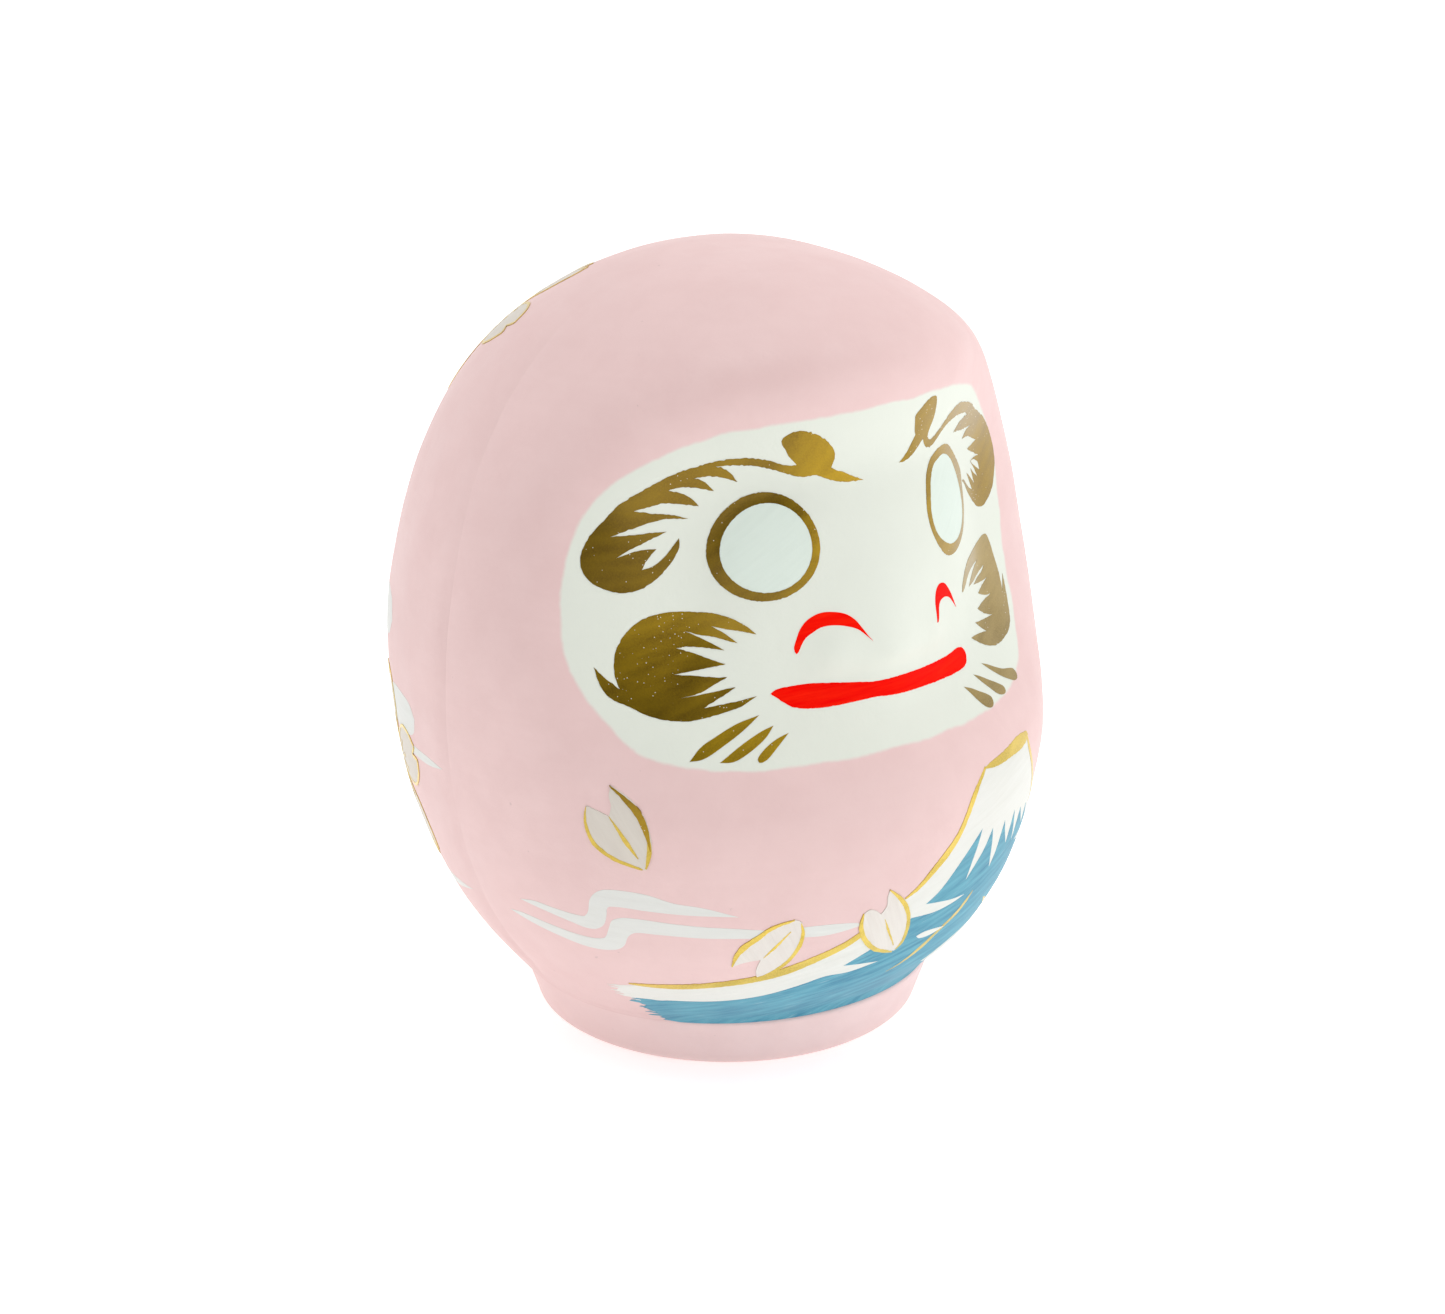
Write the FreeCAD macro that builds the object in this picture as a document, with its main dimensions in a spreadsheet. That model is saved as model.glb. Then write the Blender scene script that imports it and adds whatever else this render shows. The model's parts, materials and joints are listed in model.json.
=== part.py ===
import FreeCAD, Part
import math
import os

import Sketcher

# Roly-poly paper doll (daruma), 210 mm tall.  Millimetres, +Z up, face towards -Y.
# The origin is the centre of the paper disc that the doll stands on.
#
# The egg is one closed form, cut at Y = 0 into a front and a back half shell.  At a height z its
# section is half an ellipse in front and half an ellipse behind, and both share the side radius.
# Each of the three radii (side, front, back) follows its own upright profile, and the face is a
# soft-edged hollow pressed into the front, with a low ridge for the nose.

DIMENSIONS = (
    ("doll_height", 210.0),
    ("wall_thickness", 2.2),
    # Upright profiles: largest radius, its height, how much the upper part draws in, and the two
    # powers that set how squarely the profile turns in to the crown and to the base.
    ("side_radius", 90.0),
    ("side_widest_height", 108.3),
    ("side_taper", 0.252),
    ("side_crown_power", 4.0),
    ("side_base_power", 2.5),
    ("front_radius", 84.0),
    ("front_widest_height", 115.6),
    ("front_taper", 0.103),
    ("front_crown_power", 6.0),
    ("front_base_power", 4.0),
    ("back_radius", 93.4),
    ("back_widest_height", 105.6),
    ("back_taper", 0.052),
    ("back_crown_power", 2.26),
    ("back_base_power", 1.91),
    ("taper_ease", 0.12),
    ("base_reach", 115.2),
    # The hollow of the face.
    ("face_depth", 19.2),
    ("face_half_angle", 58.1),
    ("face_centre_height", 137.4),
    ("face_rise", 40.5),
    ("face_drop", 44.7),
    ("face_side_softness", 0.30),
    ("face_end_softness", 0.44),
    ("face_fade_radius", 63.0),
    # The ridge from between the brows to the tip of the nose.
    ("ridge_rise", 5.1),
    ("ridge_half_angle", 24.3),
    ("ridge_blunt_angle", 5.0),
    ("ridge_top_height", 162.3),
    ("ridge_tip_height", 118.6),
    ("ridge_base_height", 94.4),
    # The clay foot, its plug inside the egg, and the paper under it.
    ("foot_height", 15.6),
    ("foot_top_radius", 57.5),
    ("foot_bottom_radius", 52.4),
    ("foot_edge_round", 3.4),
    ("foot_rim_round", 1.2),
    ("plug_radius", 50.5),
    ("plug_height", 4.5),
    ("paper_radius", 48.0),
    ("paper_thickness", 0.5),
    # The paper strip pasted inside, over the joint of the two halves.
    ("strip_width", 16.0),
    ("strip_thickness", 0.6),
    ("glue_gap", 0.15),
    ("strip_centre_height", 100.0),
    ("strip_half_angle", 145.0),
)

QUARTER_TURN = math.pi / 2
COLUMNS_ROUND_HALF = 48
ROWS_UP = 32
STATIONS_ALONG_STRIP = 64
STATIONS_ACROSS_STRIP = 4


def make_sheet(doc):
    """The spreadsheet that holds the driving dimensions."""
    sheet = doc.addObject("Spreadsheet::Sheet", "Dims")
    for row, (alias, value) in enumerate(DIMENSIONS, start=1):
        sheet.set(f"A{row}", alias)
        sheet.set(f"B{row}", str(value))
        sheet.setAlias(f"B{row}", alias)
    doc.recompute()
    return sheet


# ---------------------------------------------------------------- the closed form of the egg

def profile_radius(dims, side, height, inset):
    """Radius of one upright profile (side, front or back) at a height, moved inwards by inset."""
    largest = getattr(dims, side + "_radius")
    widest = getattr(dims, side + "_widest_height")
    if height > widest:
        rise = min((height - widest) / (dims.doll_height - inset - widest), 1.0)
        eased = math.hypot(rise, dims.taper_ease) - dims.taper_ease
        drawn_in = largest * (1.0 - getattr(dims, side + "_taper") * eased) - inset
        return drawn_in * math.sqrt(max(1.0 - rise ** getattr(dims, side + "_crown_power"), 0.0))
    drop = (widest - height) / (dims.base_reach - inset)
    return (largest - inset) * math.sqrt(max(1.0 - drop ** getattr(dims, side + "_base_power"), 0.0))


def smooth_ramp(part):
    part = min(max(part, 0.0), 1.0)
    return part * part * (3.0 - 2.0 * part)


def face_hollow(dims, angle, height, radius, inset):
    """How far the face is pressed in; angle 0 is straight ahead."""
    spread = math.radians(dims.face_half_angle) + 0.5 * inset / dims.front_radius
    above = height - dims.face_centre_height
    reach = (dims.face_rise if above > 0 else dims.face_drop) + 0.5 * inset
    sideways = abs(angle / spread) ** 3 + 1e-9
    upright = abs(above / reach) ** 3
    away = (sideways + upright) ** (1.0 / 3.0)
    softness = sideways * dims.face_side_softness + upright * dims.face_end_softness
    softness /= sideways + upright
    fade = min(radius / dims.face_fade_radius, 1.0)
    return dims.face_depth * smooth_ramp((1.0 + softness - away) / (2.0 * softness)) * fade


def nose_ridge(dims, angle, height):
    """How far the ridge of the nose stands out of the hollow."""
    turn = math.hypot(math.degrees(angle), dims.ridge_blunt_angle) - dims.ridge_blunt_angle
    flank = max(1.0 - turn / dims.ridge_half_angle, 0.0)
    tip = dims.ridge_tip_height
    end = dims.ridge_top_height if height > tip else dims.ridge_base_height
    return dims.ridge_rise * flank * flank * (1.5 - 0.5 * flank) * smooth_ramp((end - height) / (end - tip))


def egg_radius(dims, angle, height, inset):
    """Distance from the axis to the skin, at an angle round the axis and a height."""
    across = profile_radius(dims, "side", height, inset)
    ahead = profile_radius(dims, "front" if math.cos(angle) > 0 else "back", height, inset)
    radius = 1.0 / math.hypot(math.sin(angle) / across, math.cos(angle) / ahead)
    return radius - face_hollow(dims, angle, height, radius, inset) + nose_ridge(dims, angle, height)


def egg_point(dims, angle, height, inset):
    radius = egg_radius(dims, angle, height, inset)
    return FreeCAD.Vector(radius * math.sin(angle), -radius * math.cos(angle), height)


def is_inside(dims, point, inset):
    """Whether a point is inside the skin that lies inset below the outer one."""
    if point.z >= dims.doll_height - inset:
        return False
    distance = math.hypot(point.x, point.y)
    return distance < egg_radius(dims, math.atan2(point.x, -point.y), point.z, inset)


# ---------------------------------------------------------------- free-form skins

def spline_face(rows):
    surface = Part.BSplineSurface()
    surface.interpolate(rows)
    return surface.toShape()


def half_skin(dims, first_angle, inset):
    """Half of the egg's skin, from the foot to the crown, over half a turn."""
    bottom = dims.foot_height
    top = dims.doll_height - inset
    rows = []
    for step in range(ROWS_UP):
        height = bottom + (top - bottom) * math.sin(QUARTER_TURN * step / ROWS_UP)
        angles = (first_angle + math.pi * i / COLUMNS_ROUND_HALF for i in range(COLUMNS_ROUND_HALF + 1))
        rows.append([egg_point(dims, angle, height, inset) for angle in angles])
    rows.append([FreeCAD.Vector(0, 0, top)] * (COLUMNS_ROUND_HALF + 1))
    return spline_face(rows)


def edges_on(face, is_on):
    """The face's real edges whose ends and middle all pass the test."""
    found = []
    for edge in face.Edges:
        if edge.Length < 0.01:
            continue
        middle = edge.valueAt(0.5 * (edge.FirstParameter + edge.LastParameter))
        points = [vertex.Point for vertex in edge.Vertexes] + [middle]
        if all(is_on(point) for point in points):
            found.append(edge)
    return found


def corner_points(edges):
    """The points that only one of the edges ends at."""
    ends = [vertex.Point for edge in edges for vertex in edge.Vertexes]
    return [p for p in ends if sum(p.isEqual(q, 0.001) for q in ends) == 1]


def band_face(outer_edges, inner_edges):
    """The flat face between an outer and an inner line of edges, closed by two straight ends."""
    straight = []
    for outer_corner in corner_points(outer_edges):
        inner_corner = min(corner_points(inner_edges), key=outer_corner.distanceToPoint)
        straight.append(Part.makeLine(outer_corner, inner_corner))
    return Part.Face(Part.Wire(Part.__sortEdges__(outer_edges + inner_edges + straight)))


def sewn_solid(faces):
    shell = Part.makeShell(faces)
    shell.sewShape()
    solid = Part.Solid(shell)
    if solid.Volume < 0:
        solid.reverse()
    return solid


def plane_test(origin, normal):
    return lambda point: abs((point - origin).dot(normal)) < 0.001


def half_shell(dims, first_angle):
    """One half of the paper egg: two skins, the joint face at Y = 0 and the rim on the foot."""
    outer = half_skin(dims, first_angle, 0.0)
    inner = half_skin(dims, first_angle, dims.wall_thickness)
    on_joint = plane_test(FreeCAD.Vector(0, 0, 0), FreeCAD.Vector(0, 1, 0))
    on_rim = plane_test(FreeCAD.Vector(0, 0, dims.foot_height), FreeCAD.Vector(0, 0, 1))
    faces = [outer, inner]
    for is_on in (on_joint, on_rim):
        faces.append(band_face(edges_on(outer, is_on), edges_on(inner, is_on)))
    return sewn_solid(faces)


def strip_point(dims, angle, across, inset):
    """Where a ray from the strip's centre, in a plane of constant Y, meets the inset skin."""
    centre = FreeCAD.Vector(0, across, dims.strip_centre_height)
    ray = FreeCAD.Vector(math.sin(angle), 0, math.cos(angle))
    near = 0.0
    far = dims.doll_height
    for _ in range(50):
        middle = 0.5 * (near + far)
        if is_inside(dims, centre + ray * middle, inset):
            near = middle
        else:
            far = middle
    return centre + ray * near


def strip_skin(dims, inset):
    """One side of the strip: over the crown from one flank to the other."""
    sweep = math.radians(dims.strip_half_angle)
    rows = []
    for step in range(STATIONS_ALONG_STRIP + 1):
        angle = sweep * (2.0 * step / STATIONS_ALONG_STRIP - 1.0)
        offsets = (dims.strip_width * (i / STATIONS_ACROSS_STRIP - 0.5)
                   for i in range(STATIONS_ACROSS_STRIP + 1))
        rows.append([strip_point(dims, angle, across, inset) for across in offsets])
    return spline_face(rows)


def seam_strip(dims):
    """The strip as a solid: two skins, two long edges and two ends."""
    start = dims.wall_thickness + dims.glue_gap
    outer = strip_skin(dims, start)
    inner = strip_skin(dims, start + dims.strip_thickness)
    sweep = math.radians(dims.strip_half_angle)
    centre = FreeCAD.Vector(0, 0, dims.strip_centre_height)
    half_width = 0.5 * dims.strip_width
    planes = []
    for side in (-1, 1):
        planes.append(plane_test(FreeCAD.Vector(0, side * half_width, 0), FreeCAD.Vector(0, 1, 0)))
    for side in (-1, 1):
        lean = FreeCAD.Vector(math.cos(sweep), 0, -side * math.sin(sweep))
        planes.append(plane_test(centre, lean))
    faces = [outer, inner]
    for is_on in planes:
        faces.append(band_face(edges_on(outer, is_on), edges_on(inner, is_on)))
    return sewn_solid(faces)


def add_free_form(doc, label, shape):
    feature = doc.addObject("Part::Feature", label)
    feature.Label = label
    feature.Shape = shape
    feature.Placement = FreeCAD.Placement()
    return feature


# ---------------------------------------------------------------- turned and cut pieces

def origin_plane(body, role):
    return next(item for item in body.Origin.OriginFeatures if item.Role == role)


def add_body(doc, label):
    body = doc.addObject("PartDesign::Body", label)
    body.Label = label
    body.Placement = FreeCAD.Placement()
    return body


def add_sketch(body, name, role):
    sketch = body.newObject("Sketcher::SketchObject", name)
    sketch.AttachmentSupport = [(origin_plane(body, role), "")]
    sketch.MapMode = "FlatFace"
    return sketch


def add_outline(sketch, points):
    """A closed outline of straight lines whose corners are joined."""
    count = len(points)
    for i in range(count):
        start = FreeCAD.Vector(*points[i], 0)
        end = FreeCAD.Vector(*points[(i + 1) % count], 0)
        sketch.addGeometry(Part.LineSegment(start, end), False)
    for i in range(count):
        sketch.addConstraint(Sketcher.Constraint("Coincident", i, 2, (i + 1) % count, 1))


def pin_corner(sketch, line, name, across, up):
    """Bind the start point of a line to two expressions, measured from the sketch's origin."""
    for kind, part, expression in (("DistanceX", "across", across), ("DistanceY", "up", up)):
        index = sketch.addConstraint(Sketcher.Constraint(kind, -1, 1, line, 1, 1.0))
        sketch.renameConstraint(index, f"{name}_{part}")
        sketch.setExpression(f"Constraints.{name}_{part}", expression)


def foot_corners(dims):
    """Corners of the foot's half section, with the expressions that drive them."""
    paper = dims.paper_thickness
    foot = dims.foot_height
    plug = foot + dims.plug_height
    return (
        ("under_middle", 0.0, paper, None, "Dims.paper_thickness"),
        ("under_edge", dims.foot_bottom_radius, paper, "Dims.foot_bottom_radius", "Dims.paper_thickness"),
        ("rim", dims.foot_top_radius, foot, "Dims.foot_top_radius", "Dims.foot_height"),
        ("plug_root", dims.plug_radius, foot, "Dims.plug_radius", "Dims.foot_height"),
        ("plug_top", dims.plug_radius, plug, "Dims.plug_radius", "Dims.foot_height + Dims.plug_height"),
        ("top_middle", 0.0, plug, None, "Dims.foot_height + Dims.plug_height"),
    )


def ring_edge(shape, radius, height):
    """The name of the round edge of that radius at that height."""
    for number, edge in enumerate(shape.Edges, start=1):
        curve = edge.Curve
        if not hasattr(curve, "Radius"):
            continue
        if abs(curve.Radius - radius) < 0.01 and abs(curve.Center.z - height) < 0.01:
            return f"Edge{number}"
    raise RuntimeError(f"no round edge of radius {radius} at height {height}")


def round_over(doc, body, base, name, radius, height, expression):
    fillet = body.newObject("PartDesign::Fillet", name)
    fillet.Base = (base, [ring_edge(base.Shape, radius, height)])
    fillet.setExpression("Radius", expression)
    doc.recompute()
    return fillet


def add_base_weight(doc, dims):
    """The clay foot: a flared disc, with a low plug that the rim of the egg fits round."""
    body = add_body(doc, "base_weight")
    sketch = add_sketch(body, "foot_section", "XZ_Plane")
    corners = foot_corners(dims)
    add_outline(sketch, [(across, up) for _, across, up, _, _ in corners])
    for line, (name, _, _, across, up) in enumerate(corners):
        if across is None:
            sketch.addConstraint(Sketcher.Constraint("PointOnObject", line, 1, -2))
            index = sketch.addConstraint(Sketcher.Constraint("DistanceY", -1, 1, line, 1, 1.0))
            sketch.renameConstraint(index, f"{name}_up")
            sketch.setExpression(f"Constraints.{name}_up", up)
        else:
            pin_corner(sketch, line, name, across, up)
    turned = body.newObject("PartDesign::Revolution", "foot_turned")
    turned.Profile = sketch
    turned.ReferenceAxis = (sketch, ["V_Axis"])
    turned.Angle = 360.0
    doc.recompute()
    lower = round_over(doc, body, turned, "foot_lower_edge", dims.foot_bottom_radius,
                       dims.paper_thickness, "Dims.foot_edge_round")
    round_over(doc, body, lower, "foot_rim_edge", dims.foot_top_radius,
               dims.foot_height, "Dims.foot_rim_round")
    return body


def add_base_paper(doc):
    """The paper disc pasted under the foot, which the doll stands on."""
    body = add_body(doc, "base_paper")
    sketch = add_sketch(body, "paper_outline", "XY_Plane")
    sketch.addGeometry(Part.Circle(FreeCAD.Vector(0, 0, 0), FreeCAD.Vector(0, 0, 1), 40.0), False)
    sketch.addConstraint(Sketcher.Constraint("Coincident", 0, 3, -1, 1))
    index = sketch.addConstraint(Sketcher.Constraint("Radius", 0, 40.0))
    sketch.renameConstraint(index, "paper_edge")
    sketch.setExpression("Constraints.paper_edge", "Dims.paper_radius")
    pad = body.newObject("PartDesign::Pad", "paper_sheet")
    pad.Profile = sketch
    pad.setExpression("Length", "Dims.paper_thickness")
    return body


# ---------------------------------------------------------------- the document

def check(doc, pieces):
    for item in doc.Objects:
        if "Invalid" in item.State or "Error" in item.State:
            raise RuntimeError(f"{item.Name} failed: {item.State}")
    for piece in pieces:
        if piece.Shape.isNull() or not piece.Shape.isValid():
            raise RuntimeError(f"{piece.Label} has no valid shape")


def main():
    doc = FreeCAD.newDocument("daruma")
    dims = make_sheet(doc)
    pieces = [
        add_free_form(doc, "front_shell", half_shell(dims, -QUARTER_TURN)),
        add_free_form(doc, "back_shell", half_shell(dims, QUARTER_TURN)),
        add_free_form(doc, "seam_strip", seam_strip(dims)),
        add_base_weight(doc, dims),
        add_base_paper(doc),
    ]
    doc.recompute()
    check(doc, pieces)
    os.makedirs("parts", exist_ok=True)
    for piece in pieces:
        piece.Shape.exportStep(f"parts/{piece.Label}.step")
        box = piece.Shape.BoundBox
        print(f"{piece.Label}: {piece.Shape.Volume / 1000:.2f} cm3, "
              f"x {box.XMin:.2f} {box.XMax:.2f}, y {box.YMin:.2f} {box.YMax:.2f}, "
              f"z {box.ZMin:.2f} {box.ZMax:.2f}")


main()
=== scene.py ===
"""Looks for the painted papier-mache daruma doll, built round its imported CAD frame.

The two paper halves and the clay foot get finer skins that follow the CAD surfaces. The white face
panel has a soft sprayed edge, so it is part of the front half's material. Every other painted motif
is its own thin coat of paint lying on those skins. Places on the doll are written as (longitude,
latitude) in degrees, seen from the middle of the doll: longitude 0 is straight ahead, negative is
the doll's right side, and latitude 90 is the crown.
"""
import json
import math
import random

import bpy
import numpy as np
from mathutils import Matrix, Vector, geometry, noise
from mathutils.bvhtree import BVHTree

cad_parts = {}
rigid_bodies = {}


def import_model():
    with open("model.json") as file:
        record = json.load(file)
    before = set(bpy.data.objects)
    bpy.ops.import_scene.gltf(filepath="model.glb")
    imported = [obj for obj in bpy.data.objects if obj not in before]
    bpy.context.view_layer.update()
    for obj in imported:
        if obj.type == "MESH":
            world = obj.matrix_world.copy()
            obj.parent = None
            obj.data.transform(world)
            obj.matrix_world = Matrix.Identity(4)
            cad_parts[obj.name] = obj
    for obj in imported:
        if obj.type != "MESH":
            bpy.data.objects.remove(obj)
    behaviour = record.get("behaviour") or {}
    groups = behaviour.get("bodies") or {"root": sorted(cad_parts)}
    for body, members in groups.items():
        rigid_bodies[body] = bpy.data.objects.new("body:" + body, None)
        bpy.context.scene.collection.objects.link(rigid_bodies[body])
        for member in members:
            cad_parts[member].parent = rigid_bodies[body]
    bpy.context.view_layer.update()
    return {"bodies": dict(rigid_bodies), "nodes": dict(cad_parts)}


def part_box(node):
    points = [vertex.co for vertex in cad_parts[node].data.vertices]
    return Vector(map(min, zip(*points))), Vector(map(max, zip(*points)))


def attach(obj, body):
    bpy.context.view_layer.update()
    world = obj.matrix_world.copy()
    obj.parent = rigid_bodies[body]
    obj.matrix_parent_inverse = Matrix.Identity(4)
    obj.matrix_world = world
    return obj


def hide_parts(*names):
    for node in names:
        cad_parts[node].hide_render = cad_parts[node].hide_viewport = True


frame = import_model()
NODES = frame["nodes"]
BODY = sorted(frame["bodies"])[0]

MM = 0.001
LOW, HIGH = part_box("base_paper")[0].z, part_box("front_shell")[1].z
MIDDLE = Vector((0.0, 0.0, (LOW + HIGH) / 2))
RIM_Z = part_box("front_shell")[0].z          # where the paper shell meets the clay foot
WALL = 2.3 * MM                             # thickness of the paper skins

COLUMNS = 320                               # skin cells round the doll
ROWS = 150                                  # skin cells from the foot to the crown
COAT = 0.04 * MM                            # thickness of one coat of paint
UNDER = 0.35 * MM                           # how far a coat reaches under the skin
BESIDE = 0.15                               # rays pass this many degrees beside the shells' joint
CELL = 0.85                                 # size of a paint mesh cell, in degrees

STEP = 0.75 * MM                            # depth of the visible joint between the two halves
STEP_GONE = 68.0                            # the joint's step fades out at this latitude
STEP_FADE = 36.0                            # over this many degrees
LUMPS, FINE_LUMPS, SINK = 0.34, 0.12, 0.42  # in mm; the sink keeps the lumps inside the CAD skin
JOINT_TOP = -57.0                           # paint rounds off the joint with the foot from here
JOINT_LOW = -58.6                           # to here
JOINT_DIP = 0.35 * MM                       # how far its lower edge goes into the foot

# ---------------------------------------------------------------- places on the doll


def direction(lon, lat):
    """Unit vector from the middle of the doll towards a longitude and latitude in degrees."""
    a = math.radians(lon)
    b = math.radians(lat)
    return Vector((math.cos(b) * math.sin(a), -math.cos(b) * math.cos(a), math.sin(b)))


def tree_of(*names):
    """Ray tree of some CAD nodes."""
    verts = []
    faces = []
    for name in names:
        mesh = NODES[name].data
        base = len(verts)
        verts += [v.co.copy() for v in mesh.vertices]
        faces += [[base + i for i in p.vertices] for p in mesh.polygons]
    return BVHTree.FromPolygons(verts, faces)


def cast_in(tree, target, towards):
    """First point of the tree met on the way in to target, from outside."""
    hit = tree.ray_cast(target + towards * 0.4, -towards)[0]
    return hit if hit is not None else target


def bell(reach):
    """Half the width of a Gaussian blur, in cells, and its weights."""
    size = int(3 * reach) + 1
    weights = np.exp(-0.5 * (np.arange(-size, size + 1) / reach) ** 2)
    return size, weights / weights.sum()


def blur_round(values, reach):
    """Gaussian blur of an array along its first axis, which closes on itself."""
    size, weights = bell(reach)
    total = np.zeros_like(values)
    for k, w in zip(range(-size, size + 1), weights):
        total += w * np.roll(values, k, axis=0)
    return total


def blur_up(values, reach):
    """Gaussian blur of an array along its second axis, whose ends stay put."""
    size, weights = bell(reach)
    padded = np.concatenate(
        [2 * values[:, :1] - values[:, size:0:-1], values, values[:, -2:-size - 2:-1]], axis=1
    )
    total = np.zeros_like(values)
    for k, w in enumerate(weights):
        total += w * padded[:, k:k + values.shape[1]]
    return total


def swell(lon, lat, at, spread, height):
    """A soft rise of the surface about a place on the face."""
    a = (lon - at[0]) / spread[0]
    b = (lat - at[1]) / spread[1]
    return height * MM * math.exp(-a * a - b * b)


def hand_relief(lon, lat):
    """What the paper adds to the CAD surface: nose wings, a faint joint and soft lumps, in metres."""
    rise = 0.0
    if abs(lon) < 60:
        for side in (-1, 1):
            rise += swell(lon, lat, (side * 14.5, 11.0), (5.0, 4.2), 1.3)
            rise += swell(lon, lat, (side * 27.0, 32.0), (14.0, 11.0), 0.9)
        rise += swell(lon, lat, (0.0, 9.5), (8.0, 3.6), 0.8)
        rise -= swell(lon, lat, (0.0, 5.6), (17.0, 1.7), 0.5)
    ahead = 90.0 - abs(lon)
    joint = math.exp(-ahead / 3.2) if ahead > 0 else math.exp(-(ahead / 1.5) ** 2)
    fade = max(0.0, min(1.0, (STEP_GONE - lat) / STEP_FADE))
    rise -= STEP * joint * fade * (0.7 + 0.3 * math.sin(lat * 0.13 + 1.0))
    p = direction(lon, lat)
    slow = noise.noise(p * 3.1 + Vector((4.0, 1.0, 7.0)))
    fine = noise.noise(p * 8.3 + Vector((1.0, 9.0, 2.0)))
    rise += (LUMPS * slow + FINE_LUMPS * fine - SINK) * MM
    return rise


def row_latitude(rim, row):
    """Latitude of a row of skin cells, between the rim's latitude and the crown."""
    return rim + (90.0 - rim) * row / ROWS


def sample_skin():
    """Smooth radius grid of the paper shells, and the latitude of their lower rim."""
    shell = tree_of("front_shell", "back_shell")
    rims = np.zeros((COLUMNS, 1))
    for i in range(COLUMNS):
        out = direction(360.0 * i / COLUMNS + BESIDE, 0.0)
        hit = cast_in(shell, Vector((0.0, 0.0, RIM_Z + 0.4 * MM)), out)
        rims[i, 0] = math.hypot(hit.x, hit.y)
    rims = blur_round(rims, 2.0)[:, 0]
    drop = RIM_Z - MIDDLE.z
    rim_lat = np.degrees(np.arctan2(drop, rims))
    radius = np.zeros((COLUMNS, ROWS + 1))
    for i in range(COLUMNS):
        lon = 360.0 * i / COLUMNS
        radius[i, 0] = math.hypot(rims[i], drop)
        for j in range(1, ROWS + 1):
            lat = row_latitude(rim_lat[i], j)
            hit = cast_in(shell, MIDDLE, direction(lon + BESIDE, lat))
            radius[i, j] = (hit - MIDDLE).length
    radius[:, -1] = radius[:, -1].mean()
    radius = blur_up(blur_round(radius, 1.6), 1.5)
    for i in range(COLUMNS):
        lon = 360.0 * i / COLUMNS
        lon = lon - 360.0 if lon > 180.0 else lon
        for j in range(1, ROWS + 1):
            lat = row_latitude(rim_lat[i], j)
            ease = min(1.0, j / 6.0)
            radius[i, j] += ease * hand_relief(lon, lat)
    radius[:, -1] = radius[:, -1].mean()
    return radius, rim_lat


RADIUS, RIM_LAT = sample_skin()


def shell_radius(lon, lat):
    """Distance from the middle to the paper's painted skin at a longitude and latitude."""
    column = (lon % 360.0) * COLUMNS / 360.0
    i = int(column) % COLUMNS
    k = (i + 1) % COLUMNS
    f = column - int(column)
    rim = RIM_LAT[i] * (1 - f) + RIM_LAT[k] * f
    row = max(0.0, (lat - rim) / (90.0 - rim) * ROWS)
    j = min(ROWS - 1, int(row))
    g = row - j
    near = RADIUS[i, j] * (1 - f) + RADIUS[k, j] * f
    far = RADIUS[i, j + 1] * (1 - f) + RADIUS[k, j + 1] * f
    return near * (1 - g) + far * g


FOOT_HIT = cast_in(tree_of("base_weight"), MIDDLE, direction(45.0, JOINT_LOW))
FOOT_REACH = (FOOT_HIT - MIDDLE).length - JOINT_DIP
PAPER_SLOPE = 0.67 * MM                     # how the joint's paint leaves the paper
FOOT_SLOPE = -2.6 * MM                      # and meets the foot


def skin_radius(lon, lat):
    """Distance from the middle to the skin, which runs on from the paper over the joint."""
    if lat >= JOINT_TOP:
        return shell_radius(lon, lat)
    start = shell_radius(lon, JOINT_TOP)
    t = min(1.0, (JOINT_TOP - lat) / (JOINT_TOP - JOINT_LOW))
    ease = t * t * (3.0 - 2.0 * t)
    leave = PAPER_SLOPE * t * (1.0 - t) ** 2
    arrive = FOOT_SLOPE * t * t * (1.0 - t)
    return start + (FOOT_REACH - start) * ease + leave + arrive


def on_skin(lon, lat, proud):
    """Point that stands proud of the painted skin, in the row frame."""
    return MIDDLE + direction(lon, lat) * (skin_radius(lon, lat) + proud)


# ---------------------------------------------------------------- outlines and meshes


def curve_through(a, b, c, d, steps):
    """Points from b up to, but not including, c on a smooth curve through the four points."""
    knots = [0.0]
    for p, q in ((a, b), (b, c), (c, d)):
        knots.append(knots[-1] + max(1e-6, math.dist(p, q)) ** 0.5)
    t0, t1, t2, t3 = knots
    found = []
    for s in range(steps):
        t = t1 + (t2 - t1) * s / steps
        row = []
        for k in (0, 1):
            ab = (t1 - t) / (t1 - t0) * a[k] + (t - t0) / (t1 - t0) * b[k]
            bc = (t2 - t) / (t2 - t1) * b[k] + (t - t1) / (t2 - t1) * c[k]
            cd = (t3 - t) / (t3 - t2) * c[k] + (t - t2) / (t3 - t2) * d[k]
            abc = (t2 - t) / (t2 - t0) * ab + (t - t0) / (t2 - t0) * bc
            bcd = (t3 - t) / (t3 - t1) * bc + (t - t1) / (t3 - t1) * cd
            row.append((t2 - t) / (t2 - t1) * abc + (t - t1) / (t2 - t1) * bcd)
        found.append((row[0], row[1]))
    return found


def outline(points, closed=True):
    """Smooth outline through the points. A point with a third entry is a sharp corner."""
    n = len(points)
    found = []
    for i in range(n if closed else n - 1):
        b = points[i]
        c = points[(i + 1) % n]
        a = points[i - 1]
        d = points[(i + 2) % n]
        if len(b) > 2 or (not closed and i == 0):
            a = (2 * b[0] - c[0], 2 * b[1] - c[1])
        if len(c) > 2 or (not closed and i == n - 2):
            d = (2 * c[0] - b[0], 2 * c[1] - b[1])
        steps = max(2, int(math.dist(b[:2], c[:2]) / 0.5))
        found += curve_through(a[:2], b[:2], c[:2], d[:2], steps)
    if not closed:
        found.append(points[-1][:2])
    return found


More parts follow.
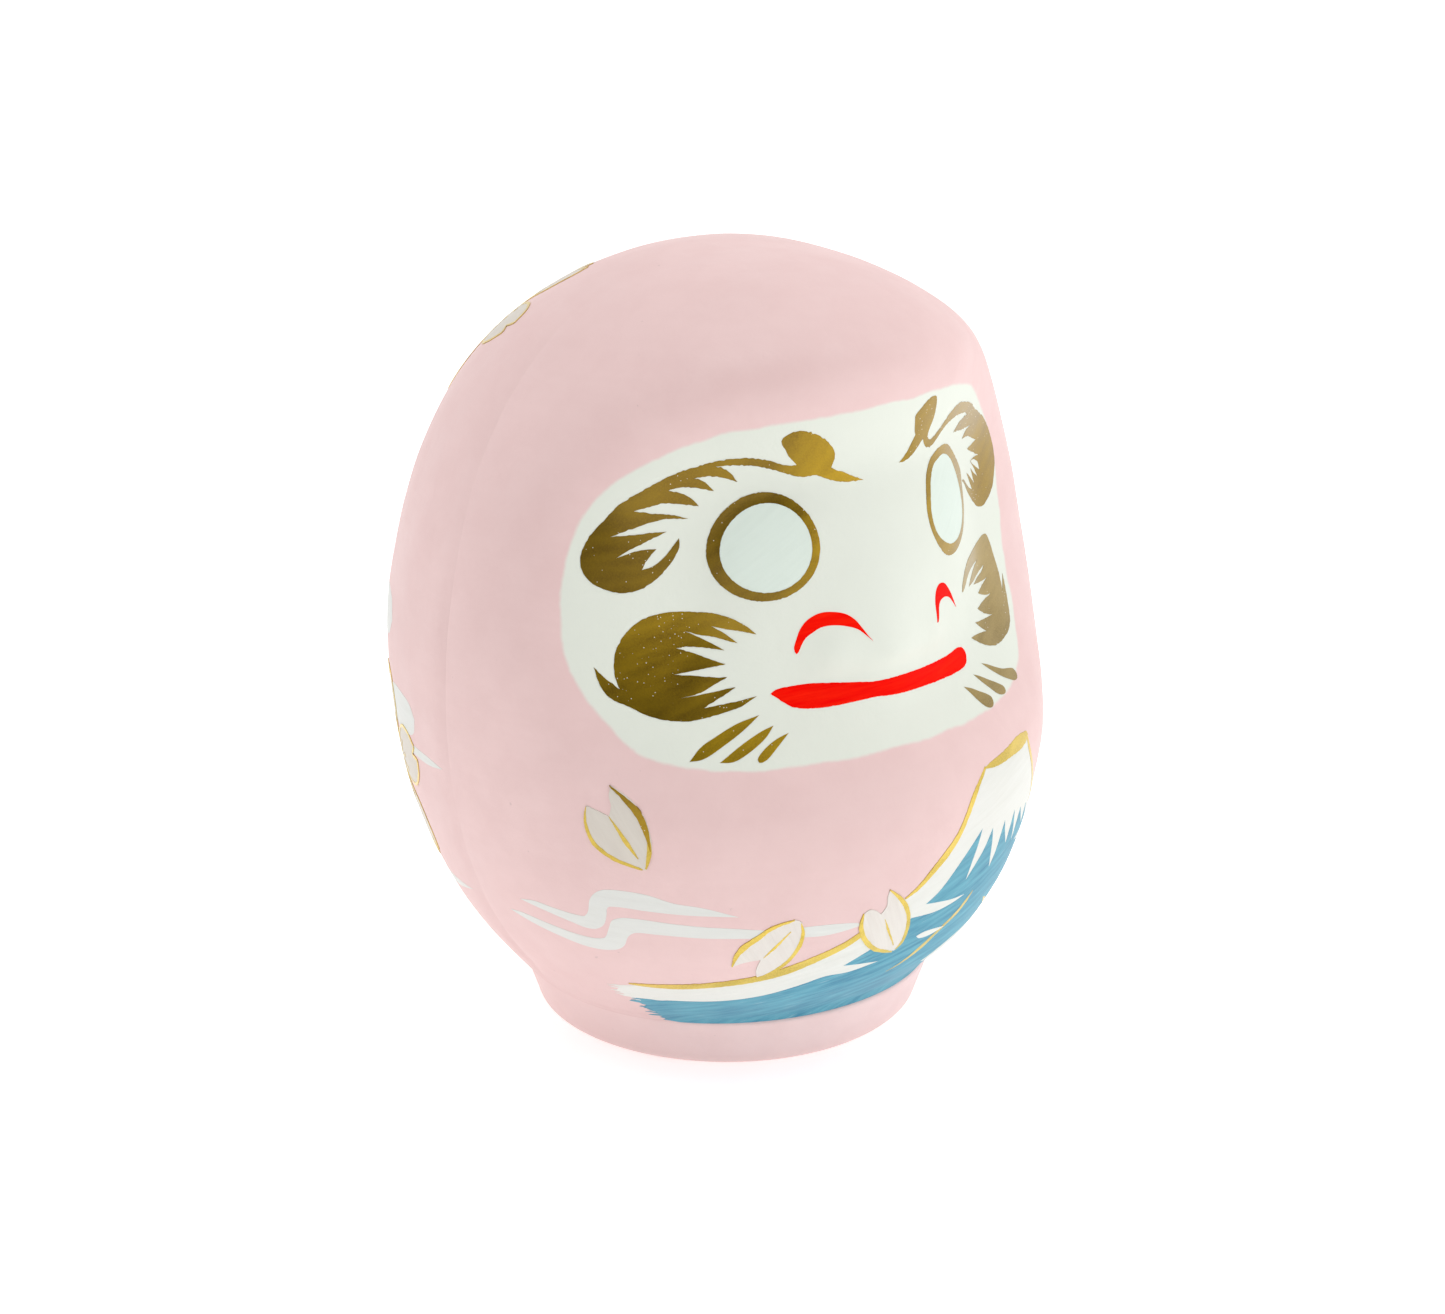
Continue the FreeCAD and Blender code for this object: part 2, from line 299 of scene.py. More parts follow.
def lengths_along(path):
    """Distance along the path from its start to each of its points."""
    along = [0.0]
    for p, q in zip(path, path[1:]):
        along.append(along[-1] + math.dist(p, q))
    return along


def stroke(points):
    """Outline of a brush stroke along (longitude, latitude, width) points, all in degrees."""
    path = outline([p[:2] for p in points], closed=False)
    along = lengths_along(path)
    marks = [min(range(len(path)), key=lambda k: math.dist(path[k], p[:2])) for p in points]
    stops = [along[m] for m in marks]
    widths = np.interp(along, stops, [p[2] for p in points])
    left = []
    right = []
    for k, (lon, lat) in enumerate(path):
        before = path[max(0, k - 1)]
        after = path[min(len(path) - 1, k + 1)]
        squeeze = math.cos(math.radians(lat))
        dx = (after[0] - before[0]) * squeeze
        dy = after[1] - before[1]
        size = math.hypot(dx, dy) or 1.0
        half = widths[k] / 2
        left.append((lon - dy / size * half / squeeze, lat + dx / size * half))
        right.append((lon + dy / size * half / squeeze, lat - dx / size * half))
    return left + right[::-1]


def feathered(shape, size, pitch, seed):
    """The outline with a slightly uneven painted edge."""
    found = []
    for lon, lat in shape:
        p = Vector((lon * pitch, lat * pitch, seed))
        found.append((lon + size * noise.noise(p), lat + size * noise.noise(p + Vector((9, 5, 3)))))
    return found


def inside(points, shape):
    """True for each of the points that lies inside the closed outline."""
    x = points[:, 0]
    y = points[:, 1]
    state = np.zeros(len(points), bool)
    for (x0, y0), (x1, y1) in zip(shape, shape[1:] + shape[:1]):
        crosses = (y0 > y) != (y1 > y)
        if y1 != y0:
            state ^= crosses & (x < (x1 - x0) * (y - y0) / (y1 - y0) + x0)
    return state


def distance_to(points, path):
    """Distance from each of the points to a closed path, in whatever units both have."""
    best = np.full(len(points), 1e9)
    for start, end in zip(path, path[1:] + path[:1]):
        p = np.array(start, float)
        q = np.array(end, float)
        span = q - p
        size = float(span @ span) or 1e-12
        t = np.clip(((points - p) @ span) / size, 0.0, 1.0)
        gap = np.linalg.norm(points - (p + t[:, None] * span), axis=1)
        best = np.minimum(best, gap)
    return best


def triangles_of(shape):
    """Vertices (longitude, latitude) and triangles that fill the outline."""
    middle = sum(p[1] for p in shape) / len(shape)
    squeeze = max(0.25, math.cos(math.radians(middle)))
    flat = [(lon * squeeze, lat) for lon, lat in shape]
    box = np.array(flat)
    xs = np.arange(box[:, 0].min(), box[:, 0].max(), CELL)
    ys = np.arange(box[:, 1].min(), box[:, 1].max(), CELL)
    grid = np.array([(x + 0.5 * CELL * (j % 2), y) for j, y in enumerate(ys) for x in xs])
    grid = grid[inside(grid, flat)] if len(grid) else np.zeros((0, 2))
    if len(grid):
        grid = grid[distance_to(grid, flat) > 0.4 * CELL]
    coords = [Vector(p) for p in flat] + [Vector(p) for p in grid]
    edges = [(i, (i + 1) % len(flat)) for i in range(len(flat))]
    verts, _, faces, _, _, _ = geometry.delaunay_2d_cdt(coords, edges, [], 1, 1e-5)
    return [(v.x / squeeze, v.y) for v in verts], [list(f) for f in faces]


def shut(top, faces, under):
    """Closed body between a top surface and the one under it: points, faces and the rim's edges."""
    count = len(top)
    seen = {}
    for face in faces:
        for a, b in zip(face, face[1:] + face[:1]):
            seen[(a, b)] = True
    rim = [(a, b) for a, b in seen if (b, a) not in seen]
    body = [list(f) for f in faces]
    body += [[count + i for i in reversed(f)] for f in faces]
    body += [[b, a, count + a, count + b] for a, b in rim]
    return top + under, body, rim


def coat_over(places, faces, layer):
    """One closed coat of paint over the places: points, faces and sharp edges."""
    top = [on_skin(lon, lat, layer * COAT) for lon, lat in places]
    under = [on_skin(lon, lat, -UNDER) for lon, lat in places]
    if faces:
        a, b, c = [top[i] for i in faces[0][:3]]
        if (b - a).cross(c - a).dot(a - MIDDLE) < 0:
            faces = [f[::-1] for f in faces]
    return shut(top, faces, under)


def ring_mesh(outer, inner, layer):
    """One closed ring of paint between two outlines of the same number of points."""
    count = len(outer)
    across = 4
    places = []
    for k in range(across + 1):
        f = k / across
        for (x0, y0), (x1, y1) in zip(outer, inner):
            places.append((x0 * (1 - f) + x1 * f, y0 * (1 - f) + y1 * f))
    faces = []
    for k in range(across):
        for i in range(count):
            n = (i + 1) % count
            faces.append([k * count + i, k * count + n, (k + 1) * count + n, (k + 1) * count + i])
    return coat_over(places, faces, layer)


def around(shape, count):
    """The closed outline as evenly spread points, from the one furthest to the left."""
    start = min(range(len(shape)), key=lambda k: shape[k][0])
    path = shape[start:] + shape[:start + 1]
    along = lengths_along(path)
    stops = [along[-1] * k / count for k in range(count)]
    lons = np.interp(stops, along, [p[0] for p in path])
    lats = np.interp(stops, along, [p[1] for p in path])
    return list(zip(lons.tolist(), lats.tolist()))


def places_of(points):
    """(longitude, latitude, 0) of each point, in degrees, for brush marks that follow the doll."""
    p = np.array([tuple(q) for q in points]) - np.array(MIDDLE)
    lon = np.degrees(np.arctan2(p[:, 0], -p[:, 1]))
    if lon.max() - lon.min() > 300.0:
        lon = lon % 360.0
    lat = np.degrees(np.arctan2(p[:, 2], np.hypot(p[:, 0], p[:, 1])))
    return np.stack([lon, lat, np.zeros(len(p))], axis=1)


def place_object(name, data):
    """A new object in the scene."""
    obj = bpy.data.objects.new(name, data)
    bpy.context.scene.collection.objects.link(obj)
    return obj


def piece(name, points, faces, material, sharp=(), replaces=()):
    """A named mesh piece of the doll that rides on its body."""
    mesh = bpy.data.meshes.new(name)
    mesh.from_pydata([tuple(p) for p in points], [], faces)
    mesh.validate()
    mesh.shade_smooth()
    if sharp:
        wanted = {tuple(sorted(e)) for e in sharp}
        for edge in mesh.edges:
            if tuple(sorted(edge.vertices)) in wanted:
                edge.use_edge_sharp = True
    mesh.materials.append(material)
    places = mesh.attributes.new("place", "FLOAT_VECTOR", "POINT")
    places.data.foreach_set("vector", places_of(points).ravel())
    obj = place_object(name, mesh)
    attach(obj, BODY)
    if replaces:
        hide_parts(*replaces)
    return obj


def painted(name, shapes, layer, material):
    """A painted motif: one piece made of a coat over each outline."""
    points = []
    faces = []
    sharp = []
    for shape in shapes:
        p, f, rim = coat_over(*triangles_of(shape), layer)
        base = len(points)
        points += p
        faces += [[base + i for i in face] for face in f]
        sharp += [(base + a, base + b) for a, b in rim]
    return piece(name, points, faces, material, sharp)


# ---------------------------------------------------------------- materials


def shader(name):
    """A fresh node material: its node tree and its main shader."""
    material = bpy.data.materials.new(name)
    material.use_nodes = True
    tree = material.node_tree
    return material, tree, tree.nodes["Principled BSDF"]


def feed(tree, socket, value):
    """Put a number, a colour or another node's output into a socket."""
    if isinstance(value, (int, float)):
        socket.default_value = value
    elif isinstance(value, tuple):
        socket.default_value = (*value, 1.0)
    else:
        tree.links.new(value, socket)


def set_inputs(tree, node, **inputs):
    """Feed some of a node's sockets. Keys use _ for a space in the socket's name."""
    for key, value in inputs.items():
        feed(tree, node.inputs[key.replace("_", " ")], value)


def add(tree, kind, **inputs):
    """A node with some of its sockets fed."""
    node = tree.nodes.new(kind)
    set_inputs(tree, node, **inputs)
    return node


def stored(tree, name):
    """The node that reads one of the values kept on the meshes."""
    node = tree.nodes.new("ShaderNodeAttribute")
    node.attribute_name = name
    return node


def mapped(tree, where, kind, stretch, turn):
    """Coordinates turned and stretched."""
    mapping = add(tree, "ShaderNodeMapping", Vector=where)
    mapping.vector_type = kind
    mapping.inputs["Scale"].default_value = stretch
    mapping.inputs["Rotation"].default_value = turn
    return mapping.outputs["Vector"]


def position(tree, stretch=(1.0, 1.0, 1.0), turn=(0.0, 0.0, 0.0)):
    """Object coordinates in metres, stretched for a brushed look."""
    where = tree.nodes.new("ShaderNodeTexCoord")
    return mapped(tree, where.outputs["Object"], "POINT", stretch, turn)


def brushed(tree, lean, long, wide):
    """Coordinates on the doll's skin, drawn out along a brush stroke. All are in degrees."""
    where = stored(tree, "place").outputs["Vector"]
    return mapped(tree, where, "TEXTURE", (long, wide, 1.0), (0.0, 0.0, math.radians(lean)))


def cloud(tree, where, scale, detail=3.0, roughness=0.55):
    """Noise about 1/scale across, in the units of its coordinates."""
    return add(
        tree, "ShaderNodeTexNoise", Vector=where, Scale=scale, Detail=detail, Roughness=roughness
    ).outputs["Fac"]


def spread(tree, value, low, high, to_low=0.0, to_high=1.0, soft=False):
    """The value mapped from low..high to to_low..to_high."""
    node = add(
        tree, "ShaderNodeMapRange",
        Value=value, From_Min=low, From_Max=high, To_Min=to_low, To_Max=to_high,
    )
    if soft:
        node.interpolation_type = "SMOOTHSTEP"
    return node.outputs["Result"]


def reckon(tree, how, a, b):
    """A sum, product or other result of two values."""
    node = tree.nodes.new("ShaderNodeMath")
    node.operation = how
    feed(tree, node.inputs[0], a)
    feed(tree, node.inputs[1], b)
    return node.outputs["Value"]


def blend(tree, factor, a, b, how="MIX"):
    """Colour a turning into colour b, or into their product, as the factor rises from 0 to 1."""
    node = tree.nodes.new("ShaderNodeMix")
    node.data_type = "RGBA"
    node.blend_type = how
    for socket, value in ((0, factor), (6, a), (7, b)):
        feed(tree, node.inputs[socket], value)
    return node.outputs[2]


def toned(colour, *factors):
    """The colour's parts multiplied by one factor each, or all by the same one, up to 1."""
    each = factors if len(factors) == 3 else factors * 3
    return tuple(min(1.0, c * f) for c, f in zip(colour, each))


def relief(tree, main, heights):
    """Bumps from (value, depth in metres) pairs, put in line into the main shader."""
    normal = None
    for value, depth in heights:
        node = add(tree, "ShaderNodeBump", Strength=1.0, Distance=depth, Height=value)
        if normal is not None:
            tree.links.new(normal, node.inputs["Normal"])
        normal = node.outputs["Normal"]
    tree.links.new(normal, main.inputs["Normal"])


PINK = (0.780, 0.564, 0.550)
# Painted light: the foot wears the body's pink, made lighter here for the light it gets from below.
FOOT_PINK_LIT = (0.860, 0.645, 0.630)
WHITE = (0.722, 0.752, 0.674)


def grounded(tree, base):
    """Colour and coordinates of hand-mixed paint, a little uneven, with rare small darker specks."""
    where = position(tree)
    slow = spread(tree, cloud(tree, where, 14.0, 2.0), 0.35, 0.65)
    shade = blend(tree, slow, toned(base, 0.965), toned(base, 1.02))
    quick = spread(tree, cloud(tree, where, 95.0, 4.0), 0.42, 0.62, 0.0, 0.35)
    shade = blend(tree, quick, shade, toned(base, 0.93, 0.9, 0.9))
    arcs = spread(tree, cloud(tree, brushed(tree, 0.0, 30.0, 1.8), 1.0, 3.0), 0.35, 0.65, 0.0, 0.22)
    shade = blend(tree, arcs, shade, toned(base, 0.95, 0.93, 0.93))
    dark_specks = spread(tree, cloud(tree, where, 420.0, 2.0), 0.76, 0.80, 0.0, 0.35)
    return blend(tree, dark_specks, shade, toned(base, 0.62)), where


def paper_relief(tree, main, where):
    """Brushed paint over laid paper: fine grain, soft dimples and a few fibres."""
    grain = cloud(tree, where, 1500.0, 3.0)
    dimples = cloud(tree, where, 230.0, 3.0)
    folds = cloud(tree, position(tree, (1.0, 1.0, 0.35), (0.2, 0.1, 0.4)), 60.0, 2.0)
    relief(tree, main, [(folds, 0.00035), (dimples, 0.00018), (grain, 0.00004)])


def pink_material(name, with_face, base=PINK):
    """Matte pink paint. With the face, it has the sprayed white panel inside its edge."""
    material, tree, main = shader(name)
    shade, where = grounded(tree, base)
    if with_face:
        line = stored(tree, "panel_depth")
        wander = spread(tree, cloud(tree, where, 130.0, 3.0), 0.3, 0.7, -0.00035, 0.00035)
        depth = reckon(tree, "ADD", line.outputs["Fac"], wander)
        cover = spread(tree, depth, -0.0006, 0.0006, soft=True)
        slow = spread(tree, cloud(tree, where, 18.0, 2.0), 0.35, 0.65)
        white = blend(tree, slow, toned(WHITE, 0.975), WHITE)
        shade = blend(tree, cover, shade, white)
    rough = spread(tree, cloud(tree, where, 70.0, 3.0), 0.35, 0.65, 0.5, 0.64)
    set_inputs(tree, main, Base_Color=shade, Roughness=rough, Specular_IOR_Level=0.45)
    paper_relief(tree, main, where)
    return material


def specks(tree, where, pitch, size, share):
    """Round pinholes: in a pitch in metres, the share of the cells that hold one of the size."""
    cells = add(tree, "ShaderNodeTexVoronoi", Vector=where, Scale=1.0 / pitch)
    spot = spread(tree, cells.outputs["Distance"], size, size * 0.6)
    parts = add(tree, "ShaderNodeSeparateColor", Color=cells.outputs["Color"])
    return reckon(tree, "MULTIPLY", spot, reckon(tree, "LESS_THAN", parts.outputs["Red"], share))


def gold_material(name, dark, light, share, shade_tint=None):
    """Brushed bronze powder paint, with a share of pinholes.

    A shade tint paints shade on the doll's right side, and fades out from longitude -27 to -17.
    """
    material, tree, main = shader(name)
    where = position(tree)
    streaks = cloud(tree, brushed(tree, 20.0, 9.0, 2.2), 1.0, 1.0, 0.4)
    tone = blend(tree, spread(tree, streaks, 0.3, 0.7), dark, light)
    grain = spread(tree, cloud(tree, where, 2600.0, 2.0), 0.3, 0.7, 0.0, 0.5)
    tone = blend(tree, grain, tone, toned(light, 1.3))
    # Painted shade: the tint darkens the gold on the doll's right side.
    if shade_tint:
        parts = add(tree, "ShaderNodeSeparateXYZ", Vector=stored(tree, "place").outputs["Vector"])
        ahead = spread(tree, parts.outputs["X"], -27.0, -17.0)
        tone = blend(tree, 1.0, tone, blend(tree, ahead, shade_tint, (1.0, 1.0, 1.0)), "MULTIPLY")
    patchy = spread(tree, cloud(tree, where, 75.0, 2.0), 0.40, 0.64, 0.1 * share, 2.6 * share)
    holes = specks(tree, where, 0.0007, 0.20, patchy)
    metal = reckon(tree, "SUBTRACT", 0.92, reckon(tree, "MULTIPLY", holes, 0.9))
    set_inputs(
        tree, main, Metallic=metal, Coat_Weight=0.4, Coat_Roughness=0.22,
        Base_Color=blend(tree, holes, tone, (0.80, 0.79, 0.70)),
        Roughness=spread(tree, streaks, 0.3, 0.7, 0.31, 0.36),
    )
    soft = cloud(tree, where, 90.0, 1.0)
    relief(tree, main, [(soft, 0.00005), (cloud(tree, where, 2600.0, 2.0), 0.00002)])
    return material


def paint_material(name, dark, light, rough, lean, ground=None, gloss=0.4):
    """Brush paint in streaks from dark to light, which may let some ground colour through."""
    material, tree, main = shader(name)
    where = position(tree)
    strokes = cloud(tree, brushed(tree, lean, 13.0, 1.1), 1.0, 4.0, 0.6)
    tone = blend(tree, spread(tree, strokes, 0.34, 0.66), dark, light)
    slow = spread(tree, cloud(tree, where, 26.0, 2.0), 0.42, 0.62, 0.0, 0.4)
    tone = blend(tree, slow, tone, light)
    if ground:
        dry = spread(tree, cloud(tree, brushed(tree, lean, 7.0, 0.35), 1.0, 3.0), 0.62, 0.74)
        tone = blend(tree, reckon(tree, "MULTIPLY", dry, 0.55), tone, ground)
    uneven = spread(tree, strokes, 0.3, 0.7, rough - 0.05, rough + 0.07)
    set_inputs(tree, main, Base_Color=tone, Roughness=uneven, Specular_IOR_Level=gloss)
    relief(tree, main, [(strokes, 0.00014), (cloud(tree, where, 1500.0, 2.0), 0.00003)])
    return material


def fibre_material(name, tone):
    """Bare handmade paper: pulp clouds and long pale fibres."""
    material, tree, main = shader(name)
    where = position(tree)
    pulp = spread(tree, cloud(tree, where, 150.0, 4.0), 0.35, 0.65)
    shade = blend(tree, pulp, toned(tone, 0.86), tone)
    fibres = cloud(tree, position(tree, (1.0, 0.12, 1.0), (0.0, 0.0, 0.6)), 800.0, 3.0)
    mark = spread(tree, fibres, 0.6, 0.72, 0.0, 0.45)
    shade = blend(tree, mark, shade, toned(tone, 1.15))
    set_inputs(tree, main, Base_Color=shade, Roughness=0.88)
    relief(tree, main, [(fibres, 0.0001), (cloud(tree, where, 420.0, 3.0), 0.00012)])
    return material


SHELL_FRONT = pink_material("pink_paper_with_face", True)
SHELL_BACK = pink_material("pink_paper", False)
# Painted light: the foot's pink is the lighter copy.
FOOT_LIT_PAINT = pink_material("pink_clay_painted_light", False, FOOT_PINK_LIT)
GOLD = gold_material("gold_bold", (0.205, 0.120, 0.001), (0.295, 0.182, 0.003), 0.12)
# Painted shade: this tint darkens the gold on the doll's right side.
SHADE_TINT = (0.62, 0.60, 0.55)
GOLD_SHADED = gold_material("gold_painted_shade", (0.225, 0.130, 0.001), (0.33, 0.205, 0.004), 0.06, SHADE_TINT)
# Painted light: a paler, lighter copy of the gold for motifs on the doll's left side, turned towards
# the light.
GOLD_PALE_LIT = gold_material("gold_pale_painted_light", (0.25, 0.175, 0.050), (0.34, 0.245, 0.080), 0.06)
# Painted reflection: a brighter, warmer copy of the gold for the right beard strokes, low on the
# face.
GOLD_WARM_LIT = gold_material("gold_painted_reflection", (0.35, 0.205, 0.002), (0.49, 0.31, 0.007), 0.06)
GOLD_FINE = gold_material("gold_fine", (0.46, 0.32, 0.040), (0.67, 0.495, 0.095), 0.0)
GOLD_PETAL = gold_material("gold_petal", (0.35, 0.245, 0.030), (0.50, 0.36, 0.060), 0.0)
RED = paint_material("red_satin", (0.86, 0.0, 0.0), (0.93, 0.012, 0.002), 0.5, 4.0, gloss=0.02)
EYE = paint_material("eye_white", (0.66, 0.742, 0.672), (0.68, 0.762, 0.692), 0.5, 30.0)
SNOW = paint_material("snow_white", (0.71, 0.71, 0.66), (0.76, 0.76, 0.72), 0.55, 12.0)
MIST = paint_material("mist_white", (0.68, 0.685, 0.65), (0.72, 0.73, 0.70), 0.55, -3.0)
CREAM = paint_material("petal_cream", (0.61, 0.56, 0.495), (0.66, 0.615, 0.55), 0.55, -60.0)
CREAM_LIGHT = paint_material("petal_light", (0.70, 0.65, 0.60), (0.76, 0.72, 0.67), 0.55, -60.0)
UNDERPAINT = (0.44, 0.57, 0.64)
BLUE = paint_material(
    "mountain_blue", (0.028, 0.208, 0.33), (0.125, 0.392, 0.492), 0.5, 12.0, UNDERPAINT
)
PASTED = fibre_material("pasted_paper", (0.80, 0.75, 0.62))
SHEET = fibre_material("base_sheet", (0.86, 0.83, 0.75))

# ---------------------------------------------------------------- the face panel

PANEL = [
    (-66.9, 21), (-66.6, 26), (-65.5, 31), (-63.5, 34.5), (-60, 38.2), (-57, 40.3), (-54, 42),
    (-50, 43.7), (-45, 45.3), (-38, 46.7), (-30, 47.4), (-20, 47.8), (0, 48.1), (20, 48.4),
    (30, 48), (38, 46.7), (44, 44.8), (49, 42.4), (53, 39.5), (55.5, 36.2), (56.9, 32),
    (56.4, 27), (55.5, 20), (54.3, 12), (52.8, 5), (50.5, 1), (47.8, -2.7), (44, -5.2),
    (38, -7.3), (30, -8.4), (20, -9), (0, -9.3), (-20, -9.3), (-30, -9.1), (-35, -8.8),
    (-40, -8.2), (-45, -7.3), (-49, -6.3), (-52.5, -4.8), (-55, -3), (-57.5, -0.6), (-60, 2),
    (-62, 4.6), (-63.6, 7), (-65.2, 10.5), (-66.4, 15),
]

# ---------------------------------------------------------------- skins


def panel_depth(points, places):
    """How far each point lies inside the face panel's edge, in metres; negative outside it."""
    shape = outline(PANEL)
    edge = [tuple(on_skin(lon, lat, 0.0)) for lon, lat in shape[::2]]
    gap = distance_to(np.array([tuple(p) for p in points]), edge)
    within = inside(np.array(places), shape)
    return np.where(within, gap, -gap)


def half_skin(name, node, first, material):
    """One paper half: its painted outside, its inside and the rims between them, closed."""
    across = COLUMNS // 2
    outer = []
    inner = []
    places = []
    for c in range(across + 1):
        i = (first + c) % COLUMNS
        lon = 360.0 * i / COLUMNS
        for j in range(ROWS):
            lat = row_latitude(RIM_LAT[i], j)
            out = direction(lon, lat)
            outer.append(MIDDLE + out * RADIUS[i, j])
            inner.append(MIDDLE + out * (RADIUS[i, j] - WALL))
            places.append((lon - 360.0 if lon > 180.0 else lon, lat))
        flat = direction(lon, 0.0) * (math.hypot(outer[-ROWS].x, outer[-ROWS].y) - 1.2 * WALL)
        inner[-ROWS] = Vector((flat.x, flat.y, outer[-ROWS].z))
    count = len(outer)
    top = MIDDLE + Vector((0, 0, RADIUS[0, -1]))
    outer.append(top)
    inner.append(top - Vector((0, 0, WALL)))
    places.append((0.0, 90.0))
    faces = []
    for c in range(across):
        for j in range(ROWS - 1):
            a = c * ROWS + j
            faces.append([a, a + ROWS, a + ROWS + 1, a + 1])
        faces.append([c * ROWS + ROWS - 1, (c + 1) * ROWS + ROWS - 1, count])
    points, body, rim = shut(outer, faces, inner)
    obj = piece(name, points, body, material, rim, [node])
    depth = obj.data.attributes.new("panel_depth", "FLOAT", "POINT")
    values = panel_depth(outer, places) if node == "front_shell" else np.full(len(outer), -1.0)
    depth.data.foreach_set("value", np.concatenate([values, np.full(len(inner), -1.0)]))
    return obj


def foot_skin():
    """The turned clay foot, with a fine profile read from its CAD node."""
    low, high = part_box("base_weight")
    tree = tree_of("base_weight")
    steps = 70
    turns = 256
    rays = 8
    uneven = 0.0012                         # how far from round the turned foot is
    profile = []
    for k in range(steps + 1):
        z = low.z + (high.z - low.z) * (0.004 + 0.992 * k / steps)
        reach = 0.0
        for a in range(rays):
            hit = cast_in(tree, Vector((0.0, 0.0, z)), direction(360.0 / rays * a + 11.0, 0.0))
            reach += math.hypot(hit.x, hit.y) / rays
        profile.append((reach, z))
    profile[0] = (profile[0][0], low.z)
    profile[-1] = (profile[-1][0], high.z)
    points = [(0.0, 0.0, low.z)]
    for reach, z in profile:
        for t in range(turns):
            out = direction(360.0 * t / turns, 0.0)
            wobble = 1.0 + uneven * noise.noise(out * 2.0 + Vector((0, 0, z * 60))) - uneven
            points.append((out.x * reach * wobble, out.y * reach * wobble, z))
    points.append((0.0, 0.0, high.z))
    faces = []
    for k in range(steps):
        for t in range(turns):
            a = 1 + k * turns + t
            b = 1 + k * turns + (t + 1) % turns
            faces.append([a, b, b + turns, a + turns])
    last = 1 + steps * turns
    for t in range(turns):
        n = (t + 1) % turns
        faces.append([0, 1 + n, 1 + t])
        faces.append([len(points) - 1, last + t, last + n])
    sharp = [(1 + t, 1 + (t + 1) % turns) for t in range(turns)]
    return piece("clay_foot", points, faces, FOOT_LIT_PAINT, sharp, ["base_weight"])


def joint_paint():
    """The pink coat that runs over the joint between the paper and the foot, all the way round."""
    upper, lower = [[(1.5 * k, lat) for k in range(240)] for lat in (JOINT_TOP + 0.5, JOINT_LOW)]
    points, faces, rim = ring_mesh(upper, lower, 0.4)
    piece("joint_paint", points, faces, SHELL_BACK, rim)


half_skin("paper_shell_front", "front_shell", COLUMNS * 3 // 4, SHELL_FRONT)
half_skin("paper_shell_back", "back_shell", COLUMNS // 4, SHELL_BACK)
foot_skin()
joint_paint()

for node_name, node_material in (("seam_strip", PASTED), ("base_paper", SHEET)):
    mesh = NODES[node_name].data
    mesh.materials.clear()
    mesh.materials.append(node_material)

# ---------------------------------------------------------------- brows

BROW_RIGHT = [
    (-22, 44.2), (-25, 44.2), (-28, 44.6), (-32, 44.8), (-36, 44.6), (-40, 44.1), (-44, 43.2),
    (-48, 42), (-52, 40.2), (-56, 37.8), (-59, 35.6), (-61.5, 32.6), (-63.5, 29.8), (-64.4, 27),
    (-64, 25), (-62.5, 23.4), (-59.5, 22.5), (-57, 22.6), (-54.5, 23.7), (-52, 25.8),
    (-50, 28.2), (-48.5, 30.5), (-47.8, 32.3), (-48, 33.3, 1), (-49, 32), (-50.5, 30),
    (-52.5, 28), (-54.6, 26.9, 1), (-54, 28.3), (-53, 29.8), (-52.2, 30.8, 1), (-54, 30.4),
    (-56.5, 29.3), (-59, 27.8, 1), (-57, 29.5), (-54.5, 31.3), (-50.4, 33.9, 1), (-53, 33.2),
    (-56, 32.2), (-60, 31, 1), (-57, 32.7), (-54, 34.3), (-51, 35.6), (-46.2, 36.6, 1),
    (-50, 36.5), (-53, 36), (-56.3, 35.6, 1), (-54, 36.6), (-51, 37.8), (-48, 38.3),
    (-43.9, 38.6, 1), (-45.5, 39.4), (-47.5, 39.7), (-50, 39.6, 1), (-48, 40.3), (-45, 40.8),
    (-40.7, 40.9, 1), (-42.5, 41.7), (-44, 41.9), (-45.2, 41.8, 1), (-42, 42.4), (-39, 42.6),
    (-35.5, 42.3, 1), (-37, 43.1), (-38.5, 43.5), (-40.4, 43.6, 1), (-36, 44), (-32, 44.1),
    (-28, 43.8), (-25, 43.4), (-22.5, 43), (-20.5, 42.8), (-17, 42.9), (-14, 42.2),
    (-11, 41.7), (-8, 41.5), (-4.8, 41.5, 1), (-7, 42), (-10, 42.8), (-12.5, 43.3),
    (-13.5, 43.6, 1), (-12.8, 44.5), (-13.2, 45.3), (-14.5, 45.8), (-17, 46.5), (-20, 46.9),
    (-23, 47), (-25, 46.7), (-26, 46.3), (-25, 45.6), (-23.5, 44.8),
]
